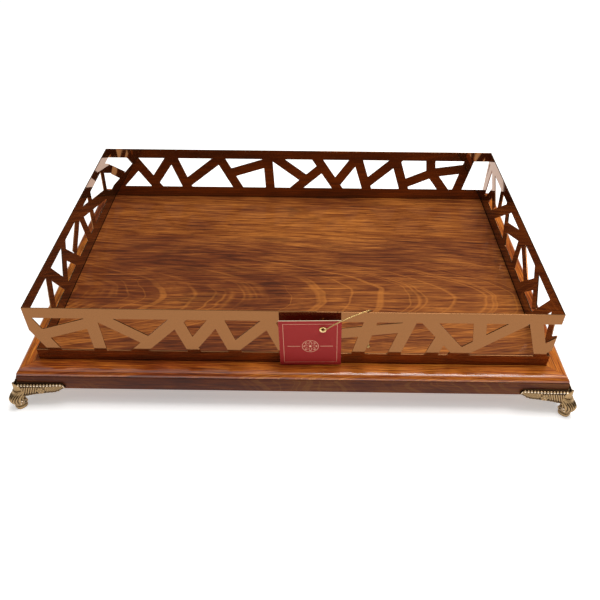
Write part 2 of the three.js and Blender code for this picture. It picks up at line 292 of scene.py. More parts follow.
def arc(
    middle: tuple[float, float], run: float, rise: float, start: float, end: float, count: int
) -> np.ndarray:
    """Even points on a stretch of an ellipse: middle + (run cos t, rise sin t).

    Args:
        middle: The ellipse's middle.
        run: Its first half axis.
        rise: Its second half axis.
        start: Where t starts, in quarter turns.
        end: Where t ends, in quarter turns.
        count: How many points, both ends included.

    Returns:
        The points as [x, y].
    """
    t = np.linspace(start, end, count) * math.pi / 2
    return np.stack([middle[0] + run * np.cos(t), middle[1] + rise * np.sin(t)], 1)


def circle(count: int) -> np.ndarray:
    """Angles round a full turn, without the last one, in radians."""
    return np.linspace(0, 2 * math.pi, count, endpoint=False)


def read_points(mesh: bpy.types.Mesh) -> np.ndarray:
    """Reads all vertices of a mesh.

    Args:
        mesh: The mesh.

    Returns:
        Rows of x, y and z.
    """
    flat = np.zeros(len(mesh.vertices) * 3)
    mesh.vertices.foreach_get("co", flat)
    return flat.reshape(-1, 3)


def read_normals(mesh: bpy.types.Mesh) -> np.ndarray:
    """Reads the unit normals of all faces of a mesh.

    Args:
        mesh: The mesh.

    Returns:
        Rows of x, y and z.
    """
    flat = np.zeros(len(mesh.polygons) * 3)
    mesh.polygons.foreach_get("normal", flat)
    return flat.reshape(-1, 3)


def wind_map(mesh: bpy.types.Mesh, along: np.ndarray, around: int) -> None:
    """Stores length and angle on rings of points as the UV map "winding".

    Args:
        mesh: Rings of points one after another.
        along: Each ring's length along the thread, in metres.
        around: Points in a ring.
    """
    index = np.zeros(len(mesh.loops), np.int32)
    mesh.loops.foreach_get("vertex_index", index)
    u = along[np.clip(index // around, 0, len(along) - 1)]
    v = (index % around) / around
    layer = mesh.uv_layers.new(name="winding")
    layer.data.foreach_set("uv", np.stack([u, v], 1).astype(np.float32).ravel())


def filled_sheet(name: str, loops: list[np.ndarray], thickness: float, edge: float) -> bpy.types.Mesh:
    """Fills flat loops, holes included, to a sheet with rounded rims, centred on Z = 0.

    Args:
        name: The mesh's name.
        loops: Closed outlines as [x, y]; one inside another is a hole.
        thickness: The sheet's thickness.
        edge: Radius of its rims.

    Returns:
        The sheet as a mesh.
    """
    curve = bpy.data.curves.new(name, "CURVE")
    curve.dimensions = "2D"
    curve.fill_mode = "BOTH"
    curve.extrude = thickness / 2 - edge
    curve.bevel_depth = edge
    curve.bevel_resolution = 2
    curve.offset = -edge
    for loop in loops:
        spline = curve.splines.new("POLY")
        spline.points.add(len(loop) - 1)
        spline.use_cyclic_u = True
        padded = np.concatenate([loop, np.zeros((len(loop), 1)), np.ones((len(loop), 1))], 1)
        spline.points.foreach_set("co", padded.ravel())
    holder = bpy.data.objects.new(name, curve)
    bpy.context.scene.collection.objects.link(holder)
    bpy.context.view_layer.update()
    mesh = bpy.data.meshes.new_from_object(holder.evaluated_get(bpy.context.evaluated_depsgraph_get()))
    bpy.data.objects.remove(holder)
    bpy.data.curves.remove(curve)
    return mesh


def keep_flat(obj: bpy.types.Object, facing: np.ndarray) -> None:
    """Shades the faces square to a direction flat, so that a sheet mirrors without a bend at its rims.

    Args:
        obj: The sheet.
        facing: Unit direction of its faces.
    """
    within_two_degrees = 0.9995
    square = np.abs(read_normals(obj.data) @ facing) > within_two_degrees
    obj.data.polygons.foreach_set("use_smooth", ~square)


def smooth_table(stations: np.ndarray, values: np.ndarray, at: np.ndarray) -> np.ndarray:
    """Reads columns of values between stations with a cubic whose slopes are those of the columns.

    Args:
        stations: Rising positions.
        values: One row per station.
        at: Where to read.

    Returns:
        One row per position.
    """
    slope = np.gradient(values, stations, axis=0)
    index = np.clip(np.searchsorted(stations, at) - 1, 0, len(stations) - 2)
    span = (stations[index + 1] - stations[index])[:, None]
    t = ((at - stations[index])[:, None]) / span
    low, high = values[index], values[index + 1]
    level = (2 * t**3 - 3 * t**2 + 1) * low + (3 * t**2 - 2 * t**3) * high
    leaving = (t**3 - 2 * t**2 + t) * span * slope[index]
    arriving = (t**3 - t**2) * span * slope[index + 1]
    return level + leaving + arriving


def carried_frame(ahead: np.ndarray) -> tuple[np.ndarray, np.ndarray]:
    """Two directions square to a path, turned as little as possible from step to step.

    Args:
        ahead: Unit tangents.

    Returns:
        The side and up directions at each point.
    """
    side = np.zeros_like(ahead)
    current = np.cross(ahead[0], [0.0, 0.0, 1.0])
    for index, tangent in enumerate(ahead):
        current = current - tangent * (current @ tangent)
        current = current / np.linalg.norm(current)
        side[index] = current
    return side, np.cross(ahead, side)


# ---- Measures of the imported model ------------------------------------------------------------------


@dataclass(frozen=True)
class Measures:
    """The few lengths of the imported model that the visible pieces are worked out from, in metres."""

    half_length: float
    half_width: float
    ledge_z: float
    underside_z: float
    overhang: float

    @staticmethod
    def from_frame() -> "Measures":
        """Reads them from the boxes of the CAD nodes.

        Returns:
            The measures.
        """
        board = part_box("base_board")
        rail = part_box("moulding_front")
        return Measures(
            half_length=board[1].x,
            half_width=board[1].y,
            ledge_z=rail[1].z,
            underside_z=rail[0].z,
            overhang=-rail[0].y - board[1].y,
        )


class Side(Enum):
    """The four sides of the tray, each with its name and its quarter turns from the front one."""

    FRONT = ("front", 0)
    RIGHT = ("right", 1)
    BACK = ("back", 2)
    LEFT = ("left", 3)

    @property
    def label(self) -> str:
        """The side's name in node names."""
        return self.value[0]

    @property
    def turn(self) -> Matrix:
        """The rotation that takes a front piece to this side."""
        return Matrix.Rotation(self.value[1] * math.pi / 2, 3, "Z")

    def halves(self, size: Measures) -> tuple[float, float]:
        """Reads the gallery's foot as it lies to this side.

        Args:
            size: The tray's measures.

        Returns:
            Half of its length along the side, and half of its width across it.
        """
        if self in (Side.FRONT, Side.BACK):
            return size.half_length, size.half_width
        return size.half_width, size.half_length


def turned(points: np.ndarray, turn: Matrix) -> np.ndarray:
    """Turns points about the origin.

    Args:
        points: Any array whose last axis has three values.
        turn: A 3 by 3 rotation.

    Returns:
        The turned points.
    """
    return np.asarray(points, float) @ np.array(turn).T


# ---- Finishes --------------------------------------------------------------------------------------


@dataclass(frozen=True)
class StainedVeneer:
    """Stained softwood or veneer under a poured gloss lacquer.

    The stain leaves warm orange crests beside dark late-wood lines. The figure follows the growth
    rings of a flat-sawn board: lines of equal x + k (y - y0)^2, nested arches about one axis that
    close up to straight grain beside it. Below an optional height the colour is darkened as painted shade.
    Lengths are in metres, or millimetres where the name says so.
    """

    name: str
    dark: str
    middle: str
    light: str
    flame: str
    grain_degrees: float = 0.0
    arch: float = 60.0
    arch_axis: float = 0.0
    ring_mm: float = 15.0
    line_mm: float = 2.2
    line_length_mm: float = 42.0
    knots: float = 0.55
    flare: float = 0.42
    painted_shade_below: float = -1.0
    painted_shade_edge_mm: float = 0.4
    painted_shade: str = "#44231A"
    coat: float = 1.0
    worn_coat: float = 0.06
    coat_roughness: float = 0.12
    grain_depth_mm: float = 0.025

    def make(self) -> bpy.types.Material:
        """Builds arches, straight lines, clouds, knots and pores under one clear coat.

        Returns:
            The finished material.
        """
        material, tree = blank_material(self.name)
        place = add(tree, "TexCoord").outputs["Object"]
        turn = (0, 0, math.radians(self.grain_degrees))
        along = add(tree, "Mapping", {"Vector": place, "Rotation": turn})
        drift = self.streaks(tree, along, 7, 24, 2.0, 0.45).outputs["Color"]
        centred = add(tree, "VectorMath", {0: drift, 1: (0.5, 0.5, 0.5)}, operation="SUBTRACT")
        shift = add(tree, "VectorMath", {0: centred, 1: (0.05, 0.012, 0.012)}, operation="MULTIPLY")
        bent = add(tree, "VectorMath", {0: along, 1: shift}, operation="ADD")

        rings = self.rings(tree, bent)
        lines = self.streaks(tree, bent, 1000 / self.line_length_mm, 1000 / self.line_mm, 4.0, 0.62)
        pores = self.streaks(tree, bent, 4000 / self.line_length_mm, 2600 / self.line_mm, 1.0, 0.5)
        clouds = self.streaks(tree, along, 7, 15, 3.0, 0.55)
        spots = self.streaks(tree, along, 16, 34, 3.0, 0.6)

        tone = -0.30
        for pattern, weight in ((clouds, 0.60), (rings, 0.16), (lines, 0.84)):
            tone = add(tree, "Math", {0: pattern, 1: weight, 2: tone}, operation="MULTIPLY_ADD")
        stops = [(0.26, self.dark), (0.45, self.middle), (0.60, self.light), (0.80, self.flame)]
        colour = add(tree, "ValToRGB", {"Fac": tone}, stops=stops)

        # A ring line lights up where its noise crosses one half, and only in the light clouds.
        above = add(tree, "Math", {0: rings, 1: 0.5}, operation="SUBTRACT")
        away = add(tree, "Math", {0: above}, operation="ABSOLUTE")
        crossing = {"Value": away, "From Min": 0.0321, "From Max": 0.0036, "To Max": self.flare}
        crest = add(tree, "MapRange", crossing)
        lit = add(tree, "MapRange", {"Value": clouds, "From Min": 0.40, "From Max": 0.52})
        flamed = add(tree, "Math", {0: crest, 1: lit}, operation="MULTIPLY")
        knotted = {"Value": spots, "From Min": 0.58, "From Max": 0.74, "To Max": self.knots}
        pored = {"Value": pores, "From Min": 0.30, "From Max": 0.42, "To Min": 0.45, "To Max": 0.0}
        tints = [
            (flamed, self.flame),
            (add(tree, "MapRange", knotted), self.dark),
            (add(tree, "MapRange", pored), self.dark),
        ]
        coat = self.coat
        # Painted shade: below this height, on the fascia under the nose, the colour is mixed towards a dark
        # brown and the coat thins.
        if self.painted_shade_below > 0:
            up = add(tree, "SeparateXYZ", {"Vector": place}).outputs["Z"]
            edge = self.painted_shade_below + self.painted_shade_edge_mm * MM
            painted_shade_fall = {"Value": up, "From Min": self.painted_shade_below, "From Max": edge, "To Min": 1.0, "To Max": 0.0}
            low = add(tree, "MapRange", painted_shade_fall)
            tints.append((add(tree, "Math", {0: low, 1: 0.78}, operation="MULTIPLY"), self.painted_shade))
            coat = add(tree, "MapRange", {"Value": low, "To Min": self.coat, "To Max": self.worn_coat})
        for share, tint in tints:
            mixed = {"Factor": share, "A": colour, "B": linear(tint)}
            colour = add(tree, "Mix", mixed, data_type="RGBA").outputs[2]

        height = add(tree, "Math", {0: pores, 1: lines}, operation="ADD")
        bump = add(tree, "Bump", {"Height": height, "Strength": 0.2, "Distance": self.grain_depth_mm * MM})
        dull = {"Value": lines, "From Min": 0.2, "From Max": 0.8, "To Min": 0.42, "To Max": 0.58}
        skin = {
            "Base Color": colour,
            "Roughness": add(tree, "MapRange", dull),
            "Specular IOR Level": 0.1,
            "Coat Weight": coat,
            "Coat Roughness": self.coat_roughness,
            "Coat IOR": 1.55,
            "Coat Normal": bump,
            "Normal": bump,
        }
        return close_material(material, skin)

    def rings(self, tree: bpy.types.NodeTree, vector: bpy.types.Node) -> bpy.types.Node:
        """Noise of the one value x + k (y - y0)^2, which is the same all along one growth ring.

        Args:
            tree: The material's tree.
            vector: The place, bent by the board's drift.

        Returns:
            The noise node.
        """
        parts = add(tree, "SeparateXYZ", {"Vector": vector}).outputs
        off = add(tree, "Math", {0: parts["Y"], 1: self.arch_axis}, operation="SUBTRACT")
        square = add(tree, "Math", {0: off, 1: off}, operation="MULTIPLY")
        ring = add(tree, "Math", {0: square, 1: self.arch, 2: parts["X"]}, operation="MULTIPLY_ADD")
        settings = {"W": ring, "Scale": 1000 / self.ring_mm, "Detail": 2.0, "Roughness": 0.5}
        return add(tree, "TexNoise", settings, noise_dimensions="1D")

    @staticmethod
    def streaks(
        tree: bpy.types.NodeTree,
        vector: bpy.types.Node,
        along: float,
        across: float,
        detail: float,
        roughness: float,
    ) -> bpy.types.Node:
        """Noise drawn out along the grain: the place times (along, across, across), then even noise.

        Args:
            tree: The material's tree.
            vector: The place on the board, with the grain along X.
            along: Waves per metre along the grain.
            across: Waves per metre across it.
            detail: Octaves.
            roughness: How much each octave adds.

        Returns:
            The noise node.
        """
        drawn = add(tree, "Mapping", {"Vector": vector, "Scale": (along, across, across)})
        settings = {"Vector": drawn, "Scale": 1.0, "Detail": detail, "Roughness": roughness}
        return add(tree, "TexNoise", settings)


@dataclass(frozen=True)
class MirrorGilt:
    """Gold-coated sheet polished to a mirror: dark and saturated, with faint handling haze.

    A clear lacquer over the gold scatters a little of its colour, so it isn't wholly metallic.
    """

    name: str = "mirror_gilt_sheet"
    colour: str = "#8C5D36"
    metal: float = 0.86
    roughness: float = 0.035
    smear_roughness: float = 0.112
    wave_mm: float = 0.4

    def make(self) -> bpy.types.Material:
        """Builds the metal with a slight roll wave and a few soft smears.

        Returns:
            The finished material.
        """
        material, tree = blank_material(self.name)
        place = add(tree, "TexCoord").outputs["Object"]
        wave = add(tree, "TexNoise", {"Vector": place, "Scale": 38.0, "Detail": 1.0, "Roughness": 0.4})
        smear = add(tree, "TexNoise", {"Vector": place, "Scale": 95.0, "Detail": 4.0, "Roughness": 0.6})
        haze = {
            "Value": smear,
            "From Min": 0.45,
            "From Max": 0.75,
            "To Min": self.roughness,
            "To Max": self.smear_roughness,
        }
        skin = {
            "Base Color": linear(self.colour),
            "Metallic": self.metal,
            "Roughness": add(tree, "MapRange", haze),
            "Normal": add(tree, "Bump", {"Height": wave, "Strength": 0.05, "Distance": self.wave_mm * MM}),
        }
        return close_material(material, skin)


@dataclass(frozen=True)
class AgedCastBrass:
    """Sand-cast brass, antiqued: a dark patina in the hollows and rubbed bright relief, whose near-white top
    is partly a painted highlight.
    """

    name: str = "aged_cast_brass"
    hollow: str = "#24140A"
    body: str = "#A88A62"
    rubbed_and_highlight: str = "#FBE9D2"
    grit_mm: float = 0.7
    grit_depth_mm: float = 0.12

    def make(self) -> bpy.types.Material:
        """Builds the metal: patina, rubbed wear and painted highlights by the "relief" attribute, cast grit
        as bump.

        Returns:
            The finished material.
        """
        material, tree = blank_material(self.name)
        place = add(tree, "TexCoord").outputs["Object"]
        relief = add(tree, "Attribute", attribute_name="relief").outputs["Fac"]
        sand = {"Vector": place, "Scale": 1 / (self.grit_mm * MM), "Detail": 4.0, "Roughness": 0.65}
        grit = add(tree, "TexNoise", sand)
        uneven = add(tree, "Math", {0: grit, 1: 0.30, 2: -0.15}, operation="MULTIPLY_ADD")
        wear_and_highlight = add(tree, "Math", {0: relief, 1: uneven}, operation="ADD")
        # The crests run to near white: partly rubbed wear, partly painted highlight.
        stops = [(0.16, self.hollow), (0.46, self.body), (0.70, self.body), (0.90, self.rubbed_and_highlight)]
        polish = {"Value": wear_and_highlight, "From Min": 0.2, "From Max": 0.9, "To Min": 0.52, "To Max": 0.24}
        grain = {"Height": grit, "Strength": 0.25, "Distance": self.grit_depth_mm * MM}
        skin = {
            "Base Color": add(tree, "ValToRGB", {"Fac": wear_and_highlight}, stops=stops),
            "Metallic": 1.0,
            "Roughness": add(tree, "MapRange", polish),
            "Normal": add(tree, "Bump", grain),
        }
        return close_material(material, skin)


@dataclass(frozen=True)
class TurnedBrass:
    """Lathe-turned brass hardware, lightly tarnished, with fine scratches."""

    name: str
    colour: str
    tarnish: str
    roughness: float = 0.22
    scratched: float = 0.16
    scratch_mm: float = 0.02

    def make(self) -> bpy.types.Material:
        """Builds the metal with tarnish clouds and scratch bump.

        Returns:
            The finished material.
        """
        material, tree = blank_material(self.name)
        place = add(tree, "TexCoord").outputs["Object"]
        cloud = add(tree, "TexNoise", {"Vector": place, "Scale": 420.0, "Detail": 3.0, "Roughness": 0.55})
        drawn = add(tree, "Mapping", {"Vector": place, "Scale": (900, 5200, 900)})
        scratch = add(tree, "TexNoise", {"Vector": drawn, "Scale": 1.0, "Detail": 2.0})
        dull = {"Value": scratch, "To Min": self.roughness, "To Max": self.roughness + self.scratched}
        mark = {"Height": scratch, "Strength": 0.15, "Distance": self.scratch_mm * MM}
        skin = {
            "Base Color": add(
                tree, "ValToRGB", {"Fac": cloud}, stops=[(0.38, self.tarnish), (0.60, self.colour)]
            ),
            "Metallic": 1.0,
            "Roughness": add(tree, "MapRange", dull),
            "Normal": add(tree, "Bump", mark),
        }
        return close_material(material, skin)


@dataclass(frozen=True)
class TwistedThread:
    """Metallic embroidery thread: gold film wound on a yellow core, bright where it turns to the light."""

    name: str = "twisted_gold_thread"
    bright: str = "#E3C07C"
    deep: str = "#8E6426"
    strand_mm: float = 0.16
    film_mm: float = 0.03

    def make(self) -> bpy.types.Material:
        """Builds the thread: fine windings across each ply, from the tube's own UV map.

        Returns:
            The finished material.
        """
        material, tree = blank_material(self.name)
        turns = add(tree, "UVMap", uv_map="winding")
        wind = add(tree, "Mapping", {"Vector": turns, "Scale": (1 / (self.strand_mm * MM), 6.0, 1.0)})
        waves = {"Vector": wind, "Scale": 0.32, "Distortion": 0.6, "Detail": 1.0}
        film = add(tree, "TexWave", waves).outputs["Fac"]
        skin = {
            "Base Color": add(
                tree, "ValToRGB", {"Fac": film}, stops=[(0.15, self.deep), (0.62, self.bright)]
            ),
            "Metallic": 0.75,
            "Roughness": 0.3,
            "Normal": add(tree, "Bump", {"Height": film, "Strength": 0.35, "Distance": self.film_mm * MM}),
        }
        return close_material(material, skin)


@dataclass(frozen=True)
class PrintedCard:
    """Wine-red laminated card with a hot-foil ornament: a fine frame, a rule and a rosette.

    The red is soft and even with a faint board tooth, darkened a little towards the bottom as painted shade,
    and the foil is a pinkish pale gold.
    Centre, width and height are in metres, lean and tilt in radians.
    """

    centre: Vector
    lean: float
    tilt: float
    width: float
    height: float
    name: str = "printed_red_card"
    red: str = "#A82B28"
    shaded_red: str = "#A02624"
    foil: str = "#D2A183"
    tooth_mm: float = 0.35
    margin_mm: float = 3.4
    rosette_drop_mm: float = 3.0
    petal_base_mm: float = 1.8
    petal_length_mm: float = 3.4
    heart_mm: float = 1.0
    ring_mm: float = 6.4
    rule_start_mm: float = 8.0
    rule_end_mm: float = 18.0

    def ornament(self, tree: bpy.types.NodeTree, card: bpy.types.Node) -> bpy.types.Node:
        """Draws the foil on the card's face, as named steps of arithmetic.

        The frame is a line at the same distance from all four edges. The rosette is a heart, a ring, and
        petals whose radius goes with |cos(4 angle)|. The rule is a line on each side of the rosette.

        Args:
            tree: The material's tree.
            card: The place on the card, from its middle.

        Returns:
            1 on the foil and 0 beside it.
        """
        flat = add(tree, "VectorMath", {0: card, 1: (1, 0, 1)}, operation="MULTIPLY")
        middle = {0: flat, 1: (0, 0, -self.rosette_drop_mm * MM)}
        steps = (
            ("side", "ABSOLUTE", "across"),
            ("rise", "ABSOLUTE", "up"),
            ("past side", "SUBTRACT", "side", self.width / 2 - self.margin_mm * MM),
            ("past end", "SUBTRACT", "rise", self.height / 2 - self.margin_mm * MM),
            ("past frame", "MAXIMUM", "past side", "past end"),
            ("off frame", "ABSOLUTE", "past frame"),
            ("frame", "LESS_THAN", "off frame", 0.14 * MM),
            ("height", "ADD", "up", self.rosette_drop_mm * MM),
            ("angle", "ARCTAN2", "height", "across"),
            ("turns", "MULTIPLY", "angle", 4.0),
            ("wave", "COSINE", "turns"),
            ("petals", "ABSOLUTE", "wave"),
            ("reach", "MULTIPLY_ADD", "petals", self.petal_length_mm * MM, self.petal_base_mm * MM),
            ("past petal", "SUBTRACT", "radius", "reach"),
            ("off petal", "ABSOLUTE", "past petal"),
            ("petal", "LESS_THAN", "off petal", 0.36 * MM),
            ("heart", "LESS_THAN", "radius", self.heart_mm * MM),
            ("past ring", "SUBTRACT", "radius", self.ring_mm * MM),
            ("off ring", "ABSOLUTE", "past ring"),
            ("ring", "LESS_THAN", "off ring", 0.18 * MM),
            ("off rule", "ABSOLUTE", "height"),
            ("thin", "LESS_THAN", "off rule", 0.2 * MM),
            ("short", "LESS_THAN", "side", self.rule_end_mm * MM),
            ("clear", "GREATER_THAN", "radius", self.rule_start_mm * MM),
            ("thin and short", "MULTIPLY", "thin", "short"),
            ("rule", "MULTIPLY", "thin and short", "clear"),
            ("border", "MAXIMUM", "frame", "rule"),
            ("flower", "MAXIMUM", "petal", "heart"),
            ("ringed flower", "MAXIMUM", "flower", "ring"),
            ("drawn", "MAXIMUM", "border", "ringed flower"),
            ("face", "LESS_THAN", "through", 0.0),
            ("foil", "MULTIPLY", "drawn", "face"),
        )
        found = dict(zip(("across", "through", "up"), add(tree, "SeparateXYZ", {"Vector": card}).outputs))
        found["radius"] = add(tree, "VectorMath", middle, operation="DISTANCE").outputs["Value"]
        for name, operation, *terms in steps:
            sources = {place: found.get(term, term) for place, term in enumerate(terms)}
            found[name] = add(tree, "Math", sources, operation=operation)
        return found["foil"]

    def make(self) -> bpy.types.Material:
        """Builds the print from the place on the card, whose middle is brought to the origin.

        Returns:
            The finished material.
        """
        material, tree = blank_material(self.name)
        place = add(tree, "TexCoord").outputs["Object"]
        moved = add(tree, "VectorMath", {0: place, 1: self.centre}, operation="SUBTRACT")
        leaned = {"Vector": moved, "Rotation": (self.lean, -self.tilt, 0.0)}
        card = add(tree, "VectorRotate", leaned, rotation_type="EULER_XYZ", invert=True)
        foil = self.ornament(tree, card)

        board = {"Vector": place, "Scale": 1 / (self.tooth_mm * MM), "Detail": 3.0, "Roughness": 0.6}
        tooth = add(tree, "TexNoise", board)
        up = add(tree, "SeparateXYZ", {"Vector": card}).outputs["Z"]
        # Painted shade: the red darkens slightly from the card's top to its bottom.
        painted_shade_fade = add(tree, "MapRange", {"Value": up, "From Min": -self.height / 2, "From Max": self.height / 2})
        speckle = add(tree, "Math", {0: tooth, 1: 0.5, 2: -0.25}, operation="MULTIPLY_ADD")
        speckle_and_painted_shade = add(tree, "Math", {0: painted_shade_fade, 1: speckle}, operation="ADD")
        red = add(tree, "ValToRGB", {"Fac": speckle_and_painted_shade}, stops=[(0.1, self.shaded_red), (0.9, self.red)])
        printed = {"Factor": foil, "A": red, "B": linear(self.foil)}
        pressed = add(tree, "Math", {0: foil, 1: -1.0}, operation="MULTIPLY")
        relief = add(tree, "Math", {0: tooth, 1: 0.3, 2: pressed}, operation="MULTIPLY_ADD")
        skin = {
            "Base Color": add(tree, "Mix", printed, data_type="RGBA").outputs[2],
            "Metallic": add(tree, "Math", {0: foil, 1: 0.55}, operation="MULTIPLY"),
            "Roughness": add(tree, "MapRange", {"Value": foil, "To Min": 0.55, "To Max": 0.3}),
            "Specular IOR Level": 0.15,
            "Normal": add(tree, "Bump", {"Height": relief, "Strength": 0.3, "Distance": 0.03 * MM}),
        }
        return close_material(material, skin)


@dataclass(frozen=True)
class CardCore:
    """Cut edge of laminated greyboard: cream fibres in thin layers."""

    name: str = "card_core"
    light: str = "#E9D6B8"
    dark: str = "#C9AE8A"
    fibre_mm: float = 0.25
    fibre_depth_mm: float = 0.05

    def make(self) -> bpy.types.Material:
        """Builds the board with fibre streaks and a soft, dull bump.

        Returns:
            The finished material.
        """
        material, tree = blank_material(self.name)
        place = add(tree, "TexCoord").outputs["Object"]
        pulp = {"Vector": place, "Scale": 1 / (self.fibre_mm * MM), "Detail": 4.0, "Roughness": 0.7}
        fibre = add(tree, "TexNoise", pulp)
        skin = {
            "Base Color": add(tree, "ValToRGB", {"Fac": fibre}, stops=[(0.3, self.dark), (0.65, self.light)]),
            "Roughness": 0.85,
            "Specular IOR Level": 0.2,
            "Normal": add(
                tree, "Bump", {"Height": fibre, "Strength": 0.4, "Distance": self.fibre_depth_mm * MM}
            ),
        }
        return close_material(material, skin)


# ---- Base ------------------------------------------------------------------------------------------


@dataclass
class Moulding:
    """One mitred length of the base's edge moulding, in place of its CAD node. Sizes in millimetres."""

    size: Measures
    side: Side
    ledge: float = 10.8
    nose_rise: float = 4.7
    nose_run: float = 4.7
    quirk: float = 0.45
    step: float = 0.5
    ease: float = 0.7
    ease_share: float = 6 / 7
    back_gap: float = 0.3
    mitre_gap: float = 0.12

    def section(self) -> np.ndarray:
        """Section as [out from the gallery, up from the ledge]: ledge, nose, quirk, eased fascia.

        The nose is a quarter ellipse. An eased edge turns through the ease share of a quarter.

        Returns:
            The section's points, in order, in millimetres.
        """
        low = -(self.size.ledge_z - self.size.underside_z) / MM
        out = self.size.overhang / MM
        foot = -self.nose_rise - self.step
        inside = self.ledge + self.nose_run - self.quirk
        nose = arc((self.ledge, -self.nose_rise), self.nose_run, self.nose_rise, 1, 0, 15)
        quirk = [[inside, -self.nose_rise - 0.15], [inside, foot]]
        top = arc((out - self.ease, foot - self.ease), self.ease, self.ease, 1, 1 - self.ease_share, 5)
        bottom = arc((out - self.ease, low + self.ease), self.ease, self.ease, 0, -self.ease_share, 5)
        return np.concatenate([[[self.back_gap, 0.0]], nose, quirk, top, bottom, [[self.back_gap, low]]])

    def build(self) -> bpy.types.Object:
        """Carries the section along the side; each point's length follows the 45 degree mitre planes.

        Returns:
            The moulding, closed at both mitres.
        """
        section = self.section() * MM
        half_along, half_across = self.side.halves(self.size)
        stations = np.linspace(-1, 1, 9)[:, None]
        reach = half_along + section[:, 0] - self.mitre_gap * MM / math.sqrt(2)
        x = stations * reach[None, :]
        y = np.broadcast_to(-(half_across + section[:, 0]), x.shape)
        z = np.broadcast_to(self.size.ledge_z + section[:, 1], x.shape)
        vertices, faces = closed_tube(turned(np.stack([x, y, z], -1), self.side.turn))
        obj = new_piece(f"moulding_{self.side.label}_turned", vertices, faces, 28)
        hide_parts(f"moulding_{self.side.label}")
        return obj


# ---- Gallery ---------------------------------------------------------------------------------------


@dataclass
class GalleryPanel:
    """One pierced sheet, in place of its CAD node: the node's own outline with eased corners and edges."""

    size: Measures
    side: Side
    corner_radius: float = 0.55
    edge_radius: float = 0.13
    corner_share: float = 0.42
    straight_degrees: float = 3.0
    arc_points: int = 5
    mitre_gap: float = 0.05

    def outlines(self) -> tuple[list[np.ndarray], float, float]:
        """Finds the loops round the outer face's triangles.

        The outer face's open edges are those that one of its triangles alone has, chained end to end.

        Returns:
            Loops as [along, up the slope], the panel's lean, and its thickness.
        """
        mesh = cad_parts[f"gallery_{self.side.label}"].data
        mesh.calc_loop_triangles()
        points = read_points(mesh) @ np.array(self.side.turn)
        corners = np.zeros(len(mesh.loop_triangles) * 3, np.int32)
        mesh.loop_triangles.foreach_get("vertices", corners)
        triangles = corners.reshape(-1, 3)
        edges = points[triangles]
        normals = np.cross(edges[:, 1] - edges[:, 0], edges[:, 2] - edges[:, 0])
        areas = np.linalg.norm(normals, axis=1)
        normals = normals / np.maximum(areas, 1e-18)[:, None]
        faces_out = -0.97
        outer = normals[:, 1] < faces_out
        lean_normal = (normals[outer] * areas[outer, None]).sum(0)
        lean = math.atan2(-lean_normal[2], -lean_normal[1])
        across = points[:, 1] * math.cos(lean) + (points[:, 2] - self.size.ledge_z) * math.sin(lean)
        thickness = across.max() - across.min()

        merge_distance = 2e-6
        keys = np.round(points / merge_distance).astype(np.int64)
        _, first, merged = np.unique(keys, axis=0, return_index=True, return_inverse=True)
        face = merged.reshape(-1)[triangles[outer]]
        directed = np.concatenate([face[:, [0, 1]], face[:, [1, 2]], face[:, [2, 0]]])
        known = {(a, b) for a, b in directed.tolist()}
        follow = {a: b for a, b in known if (b, a) not in known}
        slope = np.stack(
            [
                points[first, 0],
                (points[first, 2] - self.size.ledge_z) * math.cos(lean)
                - (points[first, 1] + self.side.halves(self.size)[1]) * math.sin(lean),
            ],
            1,
        )
        loops = []
        while follow:
            start, step = follow.popitem()
            chain = [start]
            while step != start:
                chain.append(step)
                step = follow.pop(step)
            loops.append(slope[chain])
        return loops, lean, thickness

    def eased(self, loop: np.ndarray) -> np.ndarray:
        """Drops points on straight lines and rounds every corner with a quadratic arc.

        A corner P between unit directions a and b becomes the arc from P - r a to P + r b with control P.

        Args:
            loop: A closed outline as [along, up].

        Returns:
            The eased outline.
        """
        before = loop - np.roll(loop, 1, 0)
        after = np.roll(loop, -1, 0) - loop
        turn = np.abs(np.cross(before, after)) / (
            np.linalg.norm(before, axis=1) * np.linalg.norm(after, axis=1)
        )
        kept = loop[turn > math.sin(math.radians(self.straight_degrees))]
        into = kept - np.roll(kept, 1, 0)
        out_of = np.roll(kept, -1, 0) - kept
        long_in = np.linalg.norm(into, axis=1)
        long_out = np.linalg.norm(out_of, axis=1)
        shortest = np.minimum(long_in, long_out)
        radius = np.minimum(self.corner_radius * MM, self.corner_share * shortest)[:, None]
        start = kept - radius * into / long_in[:, None]
        end = kept + radius * out_of / long_out[:, None]
        t = np.linspace(0, 1, self.arc_points)[None, :, None]
        rounded = (1 - t) ** 2 * start[:, None] + 2 * t * (1 - t) * kept[:, None] + t**2 * end[:, None]
        return rounded.reshape(-1, 2)

    def build(self) -> bpy.types.Object:
        """Fills the eased loops as a sheet, leans it, trims it to the mitre planes and turns it to its side.

        Returns:
            The panel.
        """
        loops, lean, thickness = self.outlines()
        longest = max(loops, key=lambda loop: np.ptp(loop[:, 0]))
        eased = [loop if loop is longest else self.eased(loop) for loop in loops]
        mesh = filled_sheet(f"gallery_{self.side.label}", eased, thickness, self.edge_radius * MM)
        along, up, through = read_points(mesh).T
        half_along, half_across = self.side.halves(self.size)
        inward = thickness / 2 - through
        y = -half_across + inward * math.cos(lean) - up * math.sin(lean)
        z = self.size.ledge_z + up * math.cos(lean) + inward * math.sin(lean)
        limit = half_along - half_across - y - self.mitre_gap * MM
        x = np.clip(along, -limit, limit)
        placed = turned(np.stack([x, y, z], -1), self.side.turn)
        mesh.vertices.foreach_set("co", placed.ravel())
        obj = settle(f"gallery_{self.side.label}_sheet", mesh, 25)
        facing = turned(np.array([0.0, -math.cos(lean), -math.sin(lean)]), self.side.turn)
        keep_flat(obj, facing)
        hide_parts(f"gallery_{self.side.label}")
        return obj


# ---- Feet ------------------------------------------------------------------------------------------


